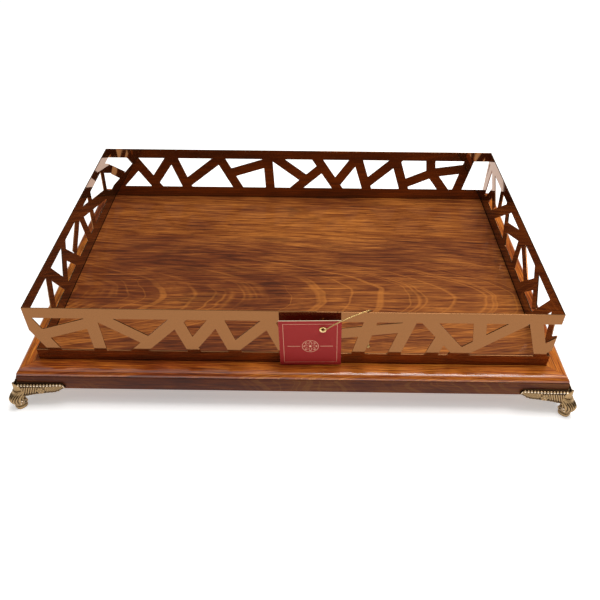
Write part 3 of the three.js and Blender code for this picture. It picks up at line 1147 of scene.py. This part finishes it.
@dataclass
class CastFoot:
    """A cast corner foot: ribbed leaf wings, a corner leaf, a scrolled leg with volutes, a screw plate.

    Local axes in millimetres: origin at the lower corner of the base, which lies towards +X and +Y,
    and Z = 0 at its underside. The foot is symmetric about the upright plane X = Y, and every part
    is given as vertices, faces, and the relief of each vertex from 0 in hollows to 1 on crests.
    """

    size: Measures
    corner: str
    quarter_turns: int
    wing_length: float = 39.0
    wing_rise: float = 6.8
    wing_drop: float = 8.4
    wing_depth: float = 2.5
    relief: float = 0.95
    rib_pitch: float = 1.9
    bead_pitch: float = 2.6
    scale_pitch: float = 1.5
    rosette_radius: float = 3.7
    gap: float = 0.3
    plate_reach: float = 33.0
    plate_depth: float = 12.0
    plate_thickness: float = 1.8
    leg_height: float = 18.5
    leg_flutes: int = 14
    volute_radius: float = 2.5
    volute_half_width: float = 4.9
    volute_out: float = -0.2
    volute_height: float = -12.0
    leaf_height: float = 9.2
    leaf_half_width: float = 4.2

    # Share of the wing's length, and height of its lower edge there.
    LOWER_EDGE = ((0, -8.0), (0.2, -6.6), (0.36, -4.6), (0.64, -2.8), (0.8, -2.0), (0.9, 0.3), (1.0, 3.0))
    # Depth below the base, reach outwards, reach inwards, and half width of the leg there.
    LEG = (
        (0.2, 5.4, -9.5, 4.6), (2.0, 6.2, -7.5, 5.0), (4.0, 8.2, -5.5, 5.1), (6.0, 9.8, -3.6, 5.0),
        (8.0, 10.3, -2.4, 4.8), (10.0, 9.8, -1.9, 4.6), (12.0, 8.6, -1.7, 4.3), (13.8, 7.2, -1.5, 3.9),
        (15.0, 6.4, -1.4, 3.7), (15.8, 7.0, -2.3, 4.3), (17.6, 7.1, -2.7, 4.4), (18.5, 6.7, -2.3, 4.1),
    )
    # Reach outwards, height, distance from the middle plane, and radius of each bead on the leg.
    EYES = ((2.6, -10.6, 3.9, 0.85), (3.4, -13.0, 3.6, 0.75))

    @staticmethod
    def on_diagonal(out: np.ndarray, sideways: np.ndarray, up: np.ndarray) -> np.ndarray:
        """Places points by their reach from the corner: ((s - out) / sqrt 2, (-s - out) / sqrt 2, up).

        Args:
            out: Reach outwards in the plane X = Y.
            sideways: Distance s from that plane.
            up: Height.

        Returns:
            The points.
        """
        x = (sideways - out) / math.sqrt(2)
        y = (-sideways - out) / math.sqrt(2)
        return np.stack(np.broadcast_arrays(x, y, up), -1)

    def wing(self) -> tuple[np.ndarray, list, np.ndarray]:
        """Relief of one wing over s along the side and t up it, closed by a flat back.

        The lower edge follows its table with small scallops, and the wing thins towards its tip.

        Returns:
            Vertices, faces and relief.
        """
        s = np.linspace(0, 1, 150)[:, None]
        t = np.linspace(0, 1, 44)[None, :]
        start = -self.wing_depth - self.gap - 0.5
        along = start + s * (self.wing_length - start) + 0 * t
        share, drop = np.array(self.LOWER_EDGE).T
        scallop = 0.3 * np.abs(np.sin(math.pi * along / (1.5 * self.rib_pitch)))
        lower = smooth_table(share, drop[:, None], s[:, 0]) - scallop * (1 - smoothstep(s, 0.82, 0.95))
        tip = 1 - 0.55 * smoothstep(s, 0.93, 1.0) ** 2
        upper = self.wing_rise * tip + 0 * t
        up = lower + t * (upper - lower)
        height = self.ornament(s, t, along, up, upper)
        edge = np.minimum(np.minimum(t, 1 - t), 3 * np.minimum(s, 1 - s))
        rim = np.minimum(1, 16 * edge + 0.3)
        thin = 1 - 0.45 * smoothstep(s, 0.35, 1.0)
        outward = -self.gap - self.wing_depth * thin * (0.6 + 0.4 * rim) - self.relief * height * rim

        front = np.stack([along, outward, up], -1)
        back = np.stack([along, np.full_like(outward, -self.gap), up], -1)
        vertices, faces = closed_tube(np.concatenate([front, back[:, ::-1]], 1))
        return vertices, faces, np.concatenate([height, np.full_like(height, 0.3)], 1).ravel()

    def ornament(
        self, s: np.ndarray, t: np.ndarray, along: np.ndarray, up: np.ndarray, upper: np.ndarray
    ) -> np.ndarray:
        """Height of the wing's ornament: the greatest of ribs, rosette, button and beads at each point.

        Ribs go with the cosine of length along a slant, and turn to scales past the middle. Beads are
        half spheres along the top. The rosette's six petals go with the cosine of six times the angle.

        Args:
            s: Share of the way along the wing.
            t: Share of the way up it.
            along: Length along it.
            up: Height.
            upper: Height of its upper edge.

        Returns:
            The height from 0 to 1.
        """
        slant = 0.35 * (up + self.wing_drop)
        ribs = 0.5 + 0.5 * np.cos(2 * math.pi * (along - slant) / self.rib_pitch)
        scales = np.cos(2 * math.pi * along / self.scale_pitch) * np.cos(2 * math.pi * up / 1.7)
        ribs = ribs + smoothstep(s, 0.58, 0.68) * (0.5 + 0.5 * scales - ribs)
        ribbed = smoothstep(t, 0.16, 0.26) * (1 - smoothstep(t, 0.72, 0.80))
        crown = np.sin(math.pi * np.clip(t, 0.02, 0.98)) ** 0.5
        lip = np.exp(-(((t - 0.09) / 0.07) ** 2))

        bead_along = (np.mod(along, self.bead_pitch) / self.bead_pitch - 0.5) / 0.46
        bead_up = (up - upper + 1.15) / 1.1
        bead = np.sqrt(np.clip(1 - bead_along**2 - bead_up**2, 0, 1))

        away_x, away_z = along - 0.47 * self.wing_length, up / 1.05
        ring = np.hypot(away_x, away_z)
        petal = 0.5 + 0.5 * np.cos(6 * np.arctan2(away_z, away_x))
        disc = 1 - smoothstep(ring, self.rosette_radius - 0.8, self.rosette_radius)
        rosette = disc * (0.45 + 0.55 * petal * smoothstep(ring, 0.9, 1.4))
        button = np.sqrt(np.clip(1 - ring**2, 0, 1))
        blank = smoothstep(ring, self.rosette_radius - 0.4, self.rosette_radius + 0.6)

        height = 0.16 * crown + 0.56 * ribs * ribbed * blank + 0.20 * lip
        height = np.maximum(height, np.maximum(0.62 * rosette, 0.80 * button) * (1 - blank))
        # Beads reach the near-white end of the brass: painted highlights as well as rubbed wear.
        height = np.maximum(height, 0.95 * bead)
        return height * (1 - 0.6 * smoothstep(s, 0.97, 1.0))

    def leg(self) -> tuple[np.ndarray, list, np.ndarray]:
        """Leg in the diagonal plane: rings of a super-ellipse down an S-curve, fluted round the knee.

        Each ring's reach outwards, reach inwards and half width come from the leg's table. Points are
        sign(cos) |cos|^0.78 and sign(sin) |sin|^0.78 of the angle, and flutes go with the cosine of
        fourteen times it. Below the collar the toe spreads in claws.

        Returns:
            Vertices, faces and relief.
        """
        stretch = self.size.underside_z / MM / self.leg_height
        table = np.array(self.LEG)
        steps = [np.linspace(0.2, 17.9, 74), np.linspace(18.05, self.leg_height, 5)]
        depth = np.concatenate(steps)[:, None] * stretch
        out, inn, half = np.split(smooth_table(table[:, 0] * stretch, table[:, 1:], depth[:, 0]), 3, axis=1)
        angle = circle(96)[None, :]
        cosine = np.sign(np.cos(angle)) * np.abs(np.cos(angle)) ** 0.78
        sine = np.sign(np.sin(angle)) * np.abs(np.sin(angle)) ** 0.78
        knee = smoothstep(depth, 1.5, 4.0) * (1 - smoothstep(depth, 11.5, 14.0))
        flute = 0.5 + 0.5 * np.cos(self.leg_flutes * angle + 0.3 * depth * np.sign(np.sin(angle)))
        claws = smoothstep(depth, 15.2, 16.2) * (1 - smoothstep(depth, 17.6, 18.3))
        toe = np.abs(np.cos(2.5 * angle)) ** 0.6
        collar = np.exp(-(((depth - 14.4) / 0.4) ** 2))
        swell = 1 - 0.13 * knee * (1 - flute) - 0.05 * claws * (1 - toe) + 0.03 * collar
        reach = (out + inn) / 2 + (out - inn) / 2 * swell * cosine
        points = self.on_diagonal(reach, half * swell * sine, -depth)
        vertices, faces = closed_tube(points)
        relief = 0.48 + 0.5 * knee * (flute - 0.6) + 0.35 * claws * (toe - 0.5) + 0.2 * collar
        return vertices, faces, np.broadcast_to(relief, points.shape[:2]).ravel()

    def volute(self) -> tuple[np.ndarray, list, np.ndarray]:
        """Scroll across the leg's inner side: a drum whose ends carry a spiral groove and a sunk eye.

        A ring's share r of the radius goes 0 to 1 and back, and the ends' height follows
        cos(2 pi 2.2 r - angle), which draws a spiral.

        Returns:
            Vertices, faces and relief.
        """
        face = np.linspace(0.02, 1, 22)
        barrel = np.linspace(-1, 1, 8)[1:-1]
        r = np.concatenate([face, np.ones(len(barrel)), face[::-1]])[:, None]
        side = np.concatenate([-np.ones(len(face)), barrel, np.ones(len(face))])[:, None]
        angle = circle(40)[None, :]
        spiral = 0.5 + 0.5 * np.cos(2 * math.pi * 2.2 * r - angle)
        dome = np.sqrt(1 - (0.86 * r) ** 2)
        eye = 1 - smoothstep(r, 0.16, 0.34)
        groove = 0.45 * (1 - spiral) * smoothstep(r, 0.3, 0.45)
        end = self.volute_half_width * (0.80 + 0.20 * dome) - groove - 1.2 * eye
        across = side * np.where(np.abs(side) == 1, end, self.volute_half_width * 0.9)
        out = self.volute_out + self.volute_radius * r * np.cos(angle)
        up = self.volute_height + self.volute_radius * r * np.sin(angle)
        vertices, faces = closed_tube(self.on_diagonal(out, across, up))
        relief = 0.35 + 0.45 * spiral * (1 - eye) - 0.3 * eye + 0 * across
        return vertices, faces, relief.ravel()

    def eyes(self) -> list[tuple[np.ndarray, list, np.ndarray]]:
        """Two small rivet-like beads on each flank of the leg, as spheres by angle and height.

        Returns:
            Vertices, faces and relief of each.
        """
        made = []
        polar = np.linspace(0.02, math.pi - 0.02, 12)[:, None]
        turn = circle(18)[None, :]
        for flank in (-1, 1):
            for out, up, across, radius in self.EYES:
                reach = out + radius * np.sin(polar) * np.cos(turn)
                sideways = flank * (across + radius * np.sin(polar) * np.sin(turn))
                points = self.on_diagonal(reach, sideways, up + radius * np.cos(polar))
                vertices, faces = closed_tube(points)
                # Relief 0.95 paints each bead near white: painted glints as well as rubbed wear.
                made.append((vertices, faces, np.full(len(vertices), 0.95)))
        return made

    def corner_leaf(self) -> tuple[np.ndarray, list, np.ndarray]:
        """Leaf tip in front of the mitre: lens-shaped rings that narrow upwards and curl out with s^2.

        Returns:
            Vertices, faces and relief.
        """
        s = np.linspace(0, 1, 30)[:, None]
        angle = circle(40)[None, :]
        half = self.leaf_half_width * (1 - 0.9 * s**2) ** 0.6 + 0.1
        thick = 1.5 * (1 - 0.55 * s)
        sideways = half * np.cos(angle)
        vein = 1 - 0.3 * np.exp(-((np.cos(angle) / 0.22) ** 2)) + 0.12 * np.cos(14 * s * math.pi)
        cupped = 0.9 * sideways**2 / self.leaf_half_width
        out = 3.3 + 0.5 * s**2 + thick * np.sin(angle) * vein - cupped
        points = self.on_diagonal(out, sideways, -1.0 + self.leaf_height * s)
        vertices, faces = closed_tube(points)
        relief = 0.2 + 0.3 * vein * (np.sin(angle) > 0)
        return vertices, faces, np.broadcast_to(relief, points.shape[:2]).ravel()

    def plate(self) -> tuple[np.ndarray, list, np.ndarray]:
        """Screw plate under the base: the five-sided outline with an eased lower edge.

        Returns:
            Vertices, faces and relief.
        """
        edge = -self.gap - 0.5 * self.wing_depth
        reach, depth = self.plate_reach, self.plate_depth
        outline = np.array([[edge, edge], [reach, edge], [reach, depth], [depth, reach], [edge, reach]])
        share = np.array([1.0, 1.0, 0.975])[:, None, None]
        drop = np.array([0.0, 0.75, 1.0])[:, None, None] * self.plate_thickness
        middle = outline.mean(0)
        flat = middle + (outline - middle) * share
        vertices, faces = closed_tube(np.concatenate([flat, -self.gap - drop + 0 * flat[..., :1]], -1))
        return vertices, faces, np.full(len(vertices), 0.45)

    def build(self) -> bpy.types.Object:
        """Joins wings, leaf, leg, volute, beads and plate to one casting at its corner.

        Returns:
            The foot, with its relief stored for the patina.
        """
        wing = self.wing()
        mirrored = (wing[0][:, [1, 0, 2]], [face[::-1] for face in wing[1]], wing[2])
        parts = [wing, mirrored, self.corner_leaf(), self.leg(), self.volute(), *self.eyes(), self.plate()]
        vertices, faces = gather([(part[0], part[1]) for part in parts])
        relief = np.concatenate([part[2] for part in parts])
        turn = Matrix.Rotation(self.quarter_turns * math.pi / 2, 3, "Z")
        half = np.array([self.size.half_length, self.size.half_width]) + self.size.overhang
        outwards = np.sign(turned(np.array([-1.0, -1.0, 0.0]), turn)[:2])
        corner = np.array([*(outwards * half), self.size.underside_z])
        mesh = bpy.data.meshes.new(f"foot_{self.corner}")
        mesh.from_pydata((turned(vertices * MM, turn) + corner).tolist(), [], faces)
        attribute = mesh.attributes.new("relief", "FLOAT", "POINT")
        attribute.data.foreach_set("value", np.clip(relief, 0, 1).astype(np.float32))
        obj = settle(f"foot_{self.corner}_cast", mesh, 50)
        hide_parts(f"foot_{self.corner}")
        return obj


@dataclass
class FootScrew:
    """Round-headed slotted wood screw, in place of its CAD node. Sizes in millimetres."""

    node: str
    head_radius: float = 2.5
    head_height: float = 1.4
    shank_radius: float = 1.15
    slot_width: float = 0.6
    slot_depth: float = 0.7
    thread_pitch: float = 1.1
    thread_depth: float = 0.2
    tip_length: float = 2.4

    def build(self) -> bpy.types.Object:
        """Turns a profile about the screw's axis, presses a slot into the head and winds a thread.

        A point within the slot is pressed in to the slot's depth. The thread takes its share from the
        shank's radius with |cos(pi z / pitch - angle / 2)|.

        Returns:
            The screw.
        """
        low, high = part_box(self.node)
        axis = (low + high) / 2
        head = arc((0.0, self.head_height), self.head_radius, self.head_height, -1, 0, 14)
        length = (high.z - low.z) / MM
        shank = np.linspace(self.head_height + 0.02, length - self.tip_length, 60)
        tip = np.linspace(length - self.tip_length, length, 10)[1:]
        shank_r = np.full(len(shank), self.shank_radius)
        tip_r = self.shank_radius * np.clip(1 - (tip - tip[0]) / (tip[-1] - tip[0]), 0.01, 1)
        r = np.concatenate([head[:, 0], shank_r, tip_r])[:, None]
        z = np.concatenate([head[:, 1], shank, tip])[:, None]
        angle = circle(48)[None, :]
        wound = smoothstep(z, self.head_height + 2.0, self.head_height + 3.0) * (r < self.head_radius)
        ridge = np.abs(np.cos(math.pi * z / self.thread_pitch - angle / 2))
        r = np.maximum(r, 0.02) * (1 - self.thread_depth * wound * ridge)
        x, y = r * np.cos(angle), r * np.sin(angle)
        in_slot = (np.abs(y) < self.slot_width / 2) & (z + 0 * angle < self.slot_depth)
        height = np.where(in_slot, self.slot_depth, z + 0 * angle)
        points = np.stack([x, y, height], -1) * MM + np.array([axis.x, axis.y, low.z])
        vertices, faces = closed_tube(points)
        obj = new_piece(f"{self.node}_slotted", vertices, faces, 40)
        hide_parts(self.node)
        return obj


# ---- Tag -------------------------------------------------------------------------------------------


@dataclass
class HangTag:
    """Card tag with its rolled eyelet, in place of the CAD nodes. Sizes in millimetres."""

    width: float = 49.0
    height: float = 49.0
    thickness: float = 0.7
    corner: float = 0.5
    lean_degrees: float = 4.5
    tilt_degrees: float = 1.5
    eyelet_bore: float = 1.2
    eyelet_barrel: float = 1.7
    eyelet_flange: float = 2.9
    eyelet_lip: float = 0.5
    eyelet_roll: float = 0.55
    eyelet_seat: float = 0.08
    clearance: float = 0.3
    edge: float = 0.06

    @property
    def centre(self) -> Vector:
        """Middle of the card, from its CAD node."""
        low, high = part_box("tag_card")
        return (low + high) / 2

    @property
    def turn(self) -> np.ndarray:
        """Rotation of the card: tilted in its own plane, then leaned back against the gallery.

        Returns:
            The 3 by 3 rotation.
        """
        lean = Matrix.Rotation(math.radians(self.lean_degrees), 3, "X")
        tilt = Matrix.Rotation(math.radians(-self.tilt_degrees), 3, "Y")
        return np.array(lean @ tilt)

    def card(self) -> bpy.types.Object:
        """Fills the card's outline and eyelet hole as a sheet.

        Returns:
            The card, with its cut edges on the second material index.
        """
        half_w, half_h = self.width / 2, self.height / 2
        half_w, half_h = half_w - self.corner, half_h - self.corner
        middles = ((half_w, half_h), (-half_w, half_h), (-half_w, -half_h), (half_w, -half_h))
        rounded = [arc(m, self.corner, self.corner, turn, turn + 1, 5) for turn, m in enumerate(middles)]
        angle = circle(40)
        hole_radius = self.eyelet_barrel + self.clearance
        hole = self.eyelet_spot() + hole_radius * np.stack([np.cos(angle), np.sin(angle)], 1)
        loops = [np.concatenate(rounded) * MM, hole * MM]
        mesh = filled_sheet("tag_card", loops, self.thickness * MM, self.edge * MM)
        across, up, through = read_points(mesh).T
        local = np.stack([across, -through, up], -1)
        mesh.vertices.foreach_set("co", (local @ self.turn.T + np.array(self.centre)).ravel())
        obj = settle("tag_card_printed", mesh, 30)
        facing = np.abs(read_normals(obj.data) @ self.turn[:, 1])
        obj.data.materials.append(None)
        obj.data.materials.append(None)
        obj.data.polygons.foreach_set("material_index", (facing < 0.5).astype(np.int32))
        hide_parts("tag_card")
        return obj

    def eyelet_spot(self) -> np.ndarray:
        """Finds the eyelet's middle on the card, from its CAD node.

        Returns:
            Its place as [across, up] from the card's middle, in millimetres.
        """
        low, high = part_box("tag_eyelet")
        away = (np.array((low + high) / 2) - np.array(self.centre)) @ self.turn
        return away[[0, 2]] / MM

    def eyelet(self) -> bpy.types.Object:
        """Turns the rolled section round the hole: a barrel between two flanges with round lips.

        Returns:
            The eyelet.
        """
        seat = self.thickness / 2 + self.eyelet_seat
        lip = self.eyelet_lip / 2
        front = arc((self.eyelet_flange - lip, seat + lip), lip, lip, -1, 1, 9)
        rolled = (self.eyelet_bore + self.eyelet_roll, seat + 2 * lip - self.eyelet_roll)
        roll = arc(rolled, self.eyelet_roll, self.eyelet_roll, 1, 2, 7)
        half_profile = np.concatenate([[[self.eyelet_barrel, 0.0], [self.eyelet_barrel, seat]], front, roll])
        inner = np.array([[self.eyelet_bore, 0.0]])
        profile = np.concatenate([half_profile, inner, half_profile[1:][::-1] * [1, -1]])
        angle = circle(56)[:, None]
        radius, depth = profile[None, :, 0], profile[None, :, 1]
        spot = self.eyelet_spot()
        points = np.stack(
            [spot[0] + radius * np.cos(angle), depth + 0 * angle, spot[1] + radius * np.sin(angle)], -1
        )
        placed = points.reshape(-1, 3) * MM @ self.turn.T + np.array(self.centre)
        faces = grid_faces(len(angle), len(profile), close_rows=True, close_columns=True).tolist()
        obj = new_piece("tag_eyelet_rolled", placed, faces, 40)
        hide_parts("tag_eyelet")
        return obj


@dataclass
class TagCord:
    """Two-ply gold cord: out of the eyelet, over the front rail and down inside. Sizes in millimetres.

    The route's points are measured from the ledge and from the tray's middle, and chosen one by one.
    """

    size: Measures
    radius: float = 0.52
    twist_pitch: float = 3.2
    knot_radius: float = 1.45
    around: int = 18

    RUN = (
        (23.8, -144.1, 41.2), (23.8, -145.3, 41.1), (23.8, -146.9, 41.0), (24.3, -148.5, 41.9),
        (26.0, -149.2, 43.9), (29.6, -148.9, 46.6), (34.0, -148.4, 49.4), (38.5, -147.6, 51.5),
        (43.0, -146.3, 53.1), (47.5, -144.8, 54.3), (51.6, -143.4, 55.2), (55.0, -142.0, 55.7),
        (57.3, -140.9, 55.8),
    )
    TAIL = (
        (57.8, -140.6, 55.8), (59.4, -139.5, 55.5), (60.5, -138.6, 54.4), (61.0, -138.1, 52.8),
        (61.1, -137.9, 50.0), (61.0, -137.8, 44.0), (60.9, -137.6, 36.0), (60.9, -137.4, 27.0),
        (61.0, -137.2, 18.5),
    )

    def route(self, steps: int = 420) -> np.ndarray:
        """The whole route as an even polyline in metres, through every point on a Catmull-Rom curve.

        Args:
            steps: Points along it.

        Returns:
            The points.
        """
        knots = np.array(self.RUN + self.TAIL) * MM + np.array([0, 0, self.size.ledge_z])
        stations = np.concatenate([[0], np.cumsum(np.linalg.norm(np.diff(knots, axis=0), axis=1))])
        fine = smooth_table(stations, knots, np.linspace(0, stations[-1], 4 * steps))
        run = np.concatenate([[0], np.cumsum(np.linalg.norm(np.diff(fine, axis=0), axis=1))])
        even = np.linspace(0, run[-1], steps)
        return np.stack([np.interp(even, run, fine[:, axis]) for axis in range(3)], 1)

    def cord(self) -> bpy.types.Object:
        """Tube of two twisted plies: the radius goes with |cos(angle - twist)| to the power 0.8.

        Returns:
            The cord, with a UV map of length along it and angle round it.
        """
        path = self.route()
        step = np.gradient(path, axis=0)
        ahead = step / np.linalg.norm(step, axis=1)[:, None]
        side, up = carried_frame(ahead)
        run = np.concatenate([[0], np.cumsum(np.linalg.norm(np.diff(path, axis=0), axis=1))])
        angle = circle(self.around)[None, :]
        twist = 2 * math.pi * run[:, None] / (self.twist_pitch * MM)
        radius = self.radius * MM * (0.70 + 0.30 * np.abs(np.cos(angle - twist)) ** 0.8)
        offset = radius[..., None] * (
            np.cos(angle)[..., None] * side[:, None] + np.sin(angle)[..., None] * up[:, None]
        )
        vertices, faces = closed_tube(path[:, None] + offset)
        obj = new_piece("tag_cord_twisted", vertices, faces, 60)
        wind_map(obj.data, run, self.around)
        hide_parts("tag_cord_run", "tag_cord_tail")
        return obj

    def knot(self, node: str) -> bpy.types.Object:
        """A tied knot: a small ball over whose skin the plies cross, inside its CAD ball.

        Radius = R (0.80 + 0.20 sin(polar) |sin(1.5 angle + 2.2 pi cos(polar))|), a wound relief.

        Args:
            node: The CAD ball that it stands for.

        Returns:
            The knot.
        """
        low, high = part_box(node)
        middle = np.array((low + high) / 2)
        rings, around, ring_length = 30, 48, 0.15 * MM
        polar = np.linspace(0.03, math.pi - 0.03, rings)[:, None]
        turn = circle(around)[None, :]
        wound = np.abs(np.sin(1.5 * turn + 2.2 * math.pi * np.cos(polar)))
        radius = self.knot_radius * MM * (0.80 + 0.20 * wound * np.sin(polar))
        points = np.stack(
            [
                radius * np.sin(polar) * np.cos(turn),
                radius * np.cos(polar) + 0 * turn,
                radius * np.sin(polar) * np.sin(turn),
            ],
            -1,
        )
        vertices, faces = closed_tube(points + middle)
        obj = new_piece(f"{node}_tied", vertices, faces, 60)
        wind_map(obj.data, np.arange(rings) * ring_length, around)
        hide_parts(node)
        return obj


# ---- Studio ----------------------------------------------------------------------------------------


@dataclass
class Studio:
    """Pale floor, a large overhead softbox, a dim room, and the camera. Metres and degrees."""

    size: Measures
    lens: float = 42.0
    pitch: float = 37.48
    yaw: float = -0.573
    roll: float = 0.378
    across: float = 0.0101
    back: float = -0.5624
    above_ledge: float = 0.3891
    floor_half: float = 6.0
    floor_drop: float = 0.00002
    softbox_side: float = 3.4
    softbox_height: float = 2.3
    softbox_power: float = 36.0
    key_power: float = 32.0
    glow: float = 0.4
    room: float = 0.05

    def camera(self) -> None:
        """Places the camera: it looks along +Y, pitched down, with a slight yaw and roll."""
        data = bpy.data.cameras.new("camera")
        data.lens = self.lens
        data.sensor_width = 36.0
        data.clip_start = 0.01
        data.clip_end = 50.0
        obj = bpy.data.objects.new("camera", data)
        turn = (
            Matrix.Rotation(math.radians(-self.yaw), 4, "Z")
            @ Matrix.Rotation(math.radians(90 - self.pitch), 4, "X")
            @ Matrix.Rotation(math.radians(self.roll), 4, "Z")
        )
        place = Matrix.Translation((self.across, self.back, self.size.ledge_z + self.above_ledge))
        obj.matrix_world = place @ turn
        bpy.context.scene.collection.objects.link(obj)
        bpy.context.scene.camera = obj

    def floor(self) -> None:
        """A matt off-white light table on which the tray stands."""
        half = self.floor_half
        corners = np.array([[-half, -half, 0], [half, -half, 0], [half, half, 0], [-half, half, 0]], float)
        obj = new_piece("studio_floor", corners - [0, 0, self.floor_drop], [[0, 1, 2, 3]])
        paper = {
            "Base Color": linear("#F4F3F1"),
            "Roughness": 0.9,
            "Specular IOR Level": 0.1,
            "Emission Color": linear("#FFFFFF"),
            "Emission Strength": self.glow,
        }
        material, _ = blank_material("studio_paper")
        obj.data.materials.append(close_material(material, paper))

    def lights(self) -> None:
        """Hangs the softbox, a smaller key light to the right, and sets the room's grey."""
        softbox = (self.softbox_side, self.softbox_side)
        self._area("softbox", (0.0, 0.15, self.softbox_height), softbox, self.softbox_power)
        self._area("key", (0.45, 0.15, 1.9), (0.8, 1.5), self.key_power)
        world = bpy.data.worlds.new("room")
        bpy.context.scene.world = world
        world.use_nodes = True
        background = world.node_tree.nodes["Background"]
        background.inputs["Color"].default_value = (self.room, self.room * 0.98, self.room * 0.95, 1.0)
        background.inputs["Strength"].default_value = 1.0

    @staticmethod
    def _area(name: str, place: tuple, sides: tuple[float, float], power: float) -> None:
        """Adds a rectangular area light that faces down.

        Args:
            name: The light's name.
            place: Its middle.
            sides: Its length and width.
            power: Its power in watts.
        """
        data = bpy.data.lights.new(name, "AREA")
        data.shape = "RECTANGLE"
        data.size, data.size_y = sides
        data.energy = power
        obj = bpy.data.objects.new(name, data)
        obj.matrix_world = Matrix.Translation(place)
        bpy.context.scene.collection.objects.link(obj)

    def build(self) -> None:
        """Sets the whole studio and the plain colour response."""
        self.camera()
        self.floor()
        self.lights()
        bpy.context.scene.view_settings.view_transform = "Standard"
        bpy.context.scene.view_settings.look = "None"


# ---- Assembly --------------------------------------------------------------------------------------


def build_tag(size: Measures) -> None:
    """Builds the cord first, then the card and its eyelet, and rides them on the swinging tag.

    Args:
        size: The tray's measures.
    """
    cord = TagCord(size)
    thread = TwistedThread().make()
    strand = dress(cord.cord(), thread)
    back_knot = dress(cord.knot("tag_cord_back_knot"), thread)
    end_knot = dress(cord.knot("tag_cord_end_knot"), thread)
    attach(back_knot, "tag")
    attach(end_knot, "tray")
    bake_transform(strand)

    tag = HangTag()
    card = tag.card()
    lean, tilt = math.radians(tag.lean_degrees), math.radians(tag.tilt_degrees)
    printed = PrintedCard(tag.centre, lean, tilt, tag.width * MM, tag.height * MM).make()
    card.data.materials[0] = printed
    card.data.materials[1] = CardCore().make()
    plated = TurnedBrass("plated_eyelet", "#E8CF9C", "#BF9657", 0.16).make()
    eyelet = dress(tag.eyelet(), plated)
    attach(card, "tag")
    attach(eyelet, "tag")
    for piece in (strand, back_knot, end_knot, card, eyelet):
        report(piece)


def build_base(size: Measures) -> None:
    """Builds the mouldings and gives the floor panel and base board their wood.

    Args:
        size: The tray's measures.
    """
    rail_tones = ("#43190A", "#8E3E10", "#BE661C", "#EE9A3C")
    # Painted shade: the moulding's fascia, below the nose, is darkened from this height down.
    painted_shade_line = size.ledge_z - 5.1 * MM
    straight = {"arch": 5.0, "arch_axis": 1.2, "line_mm": 1.3, "line_length_mm": 36.0, "knots": 0.5}
    moulding_x = StainedVeneer("stained_moulding_long", *rail_tones, painted_shade_below=painted_shade_line, **straight)
    moulding_y = StainedVeneer(
        "stained_moulding_short", *rail_tones, grain_degrees=90, painted_shade_below=painted_shade_line, **straight
    )
    woods = {True: moulding_x.make(), False: moulding_y.make()}
    for side in Side:
        rail = Moulding(size, side).build()
        dress(rail, woods[side in (Side.FRONT, Side.BACK)])
        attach(rail, "tray")
        report(rail)
    panel = StainedVeneer(
        "stained_floor", "#2E1208", "#6A3112", "#90501F", "#C87A32", arch=34, arch_axis=-0.05, ring_mm=30
    )
    repaint("floor_panel", panel.make())
    board = StainedVeneer(
        "stained_base_board", "#5A3418", "#8A5A34", "#A87848", "#B0824F", coat=0.0, knots=0.2
    )
    repaint("base_board", board.make())


def build_gallery(size: Measures) -> None:
    """Builds the four pierced panels.

    Args:
        size: The tray's measures.
    """
    gilt = MirrorGilt().make()
    for side in Side:
        panel = dress(GalleryPanel(size, side).build(), gilt)
        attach(panel, "tray")
        report(panel)


def build_feet(size: Measures) -> None:
    """Builds the four castings and their screws.

    Args:
        size: The tray's measures.
    """
    cast = AgedCastBrass().make()
    screw = TurnedBrass("turned_screw", "#B08A4E", "#6F5027").make()
    corners = ("front_left", "front_right", "back_right", "back_left")
    for turns, corner in enumerate(corners):
        foot = dress(CastFoot(size, corner, turns).build(), cast)
        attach(foot, "tray")
        report(foot)
        for letter in "ab":
            driven = dress(FootScrew(f"foot_screw_{corner}_{letter}").build(), screw)
            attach(driven, "tray")
            report(driven)


def main() -> None:
    """Builds the studio, the cord and tag, the base, the gallery and the feet."""
    logging.basicConfig(level=logging.INFO, format="%(name)s %(message)s")
    size = Measures.from_frame()
    Studio(size).build()
    build_tag(size)
    build_base(size)
    build_gallery(size)
    build_feet(size)


if __name__ == "__main__":
    main()
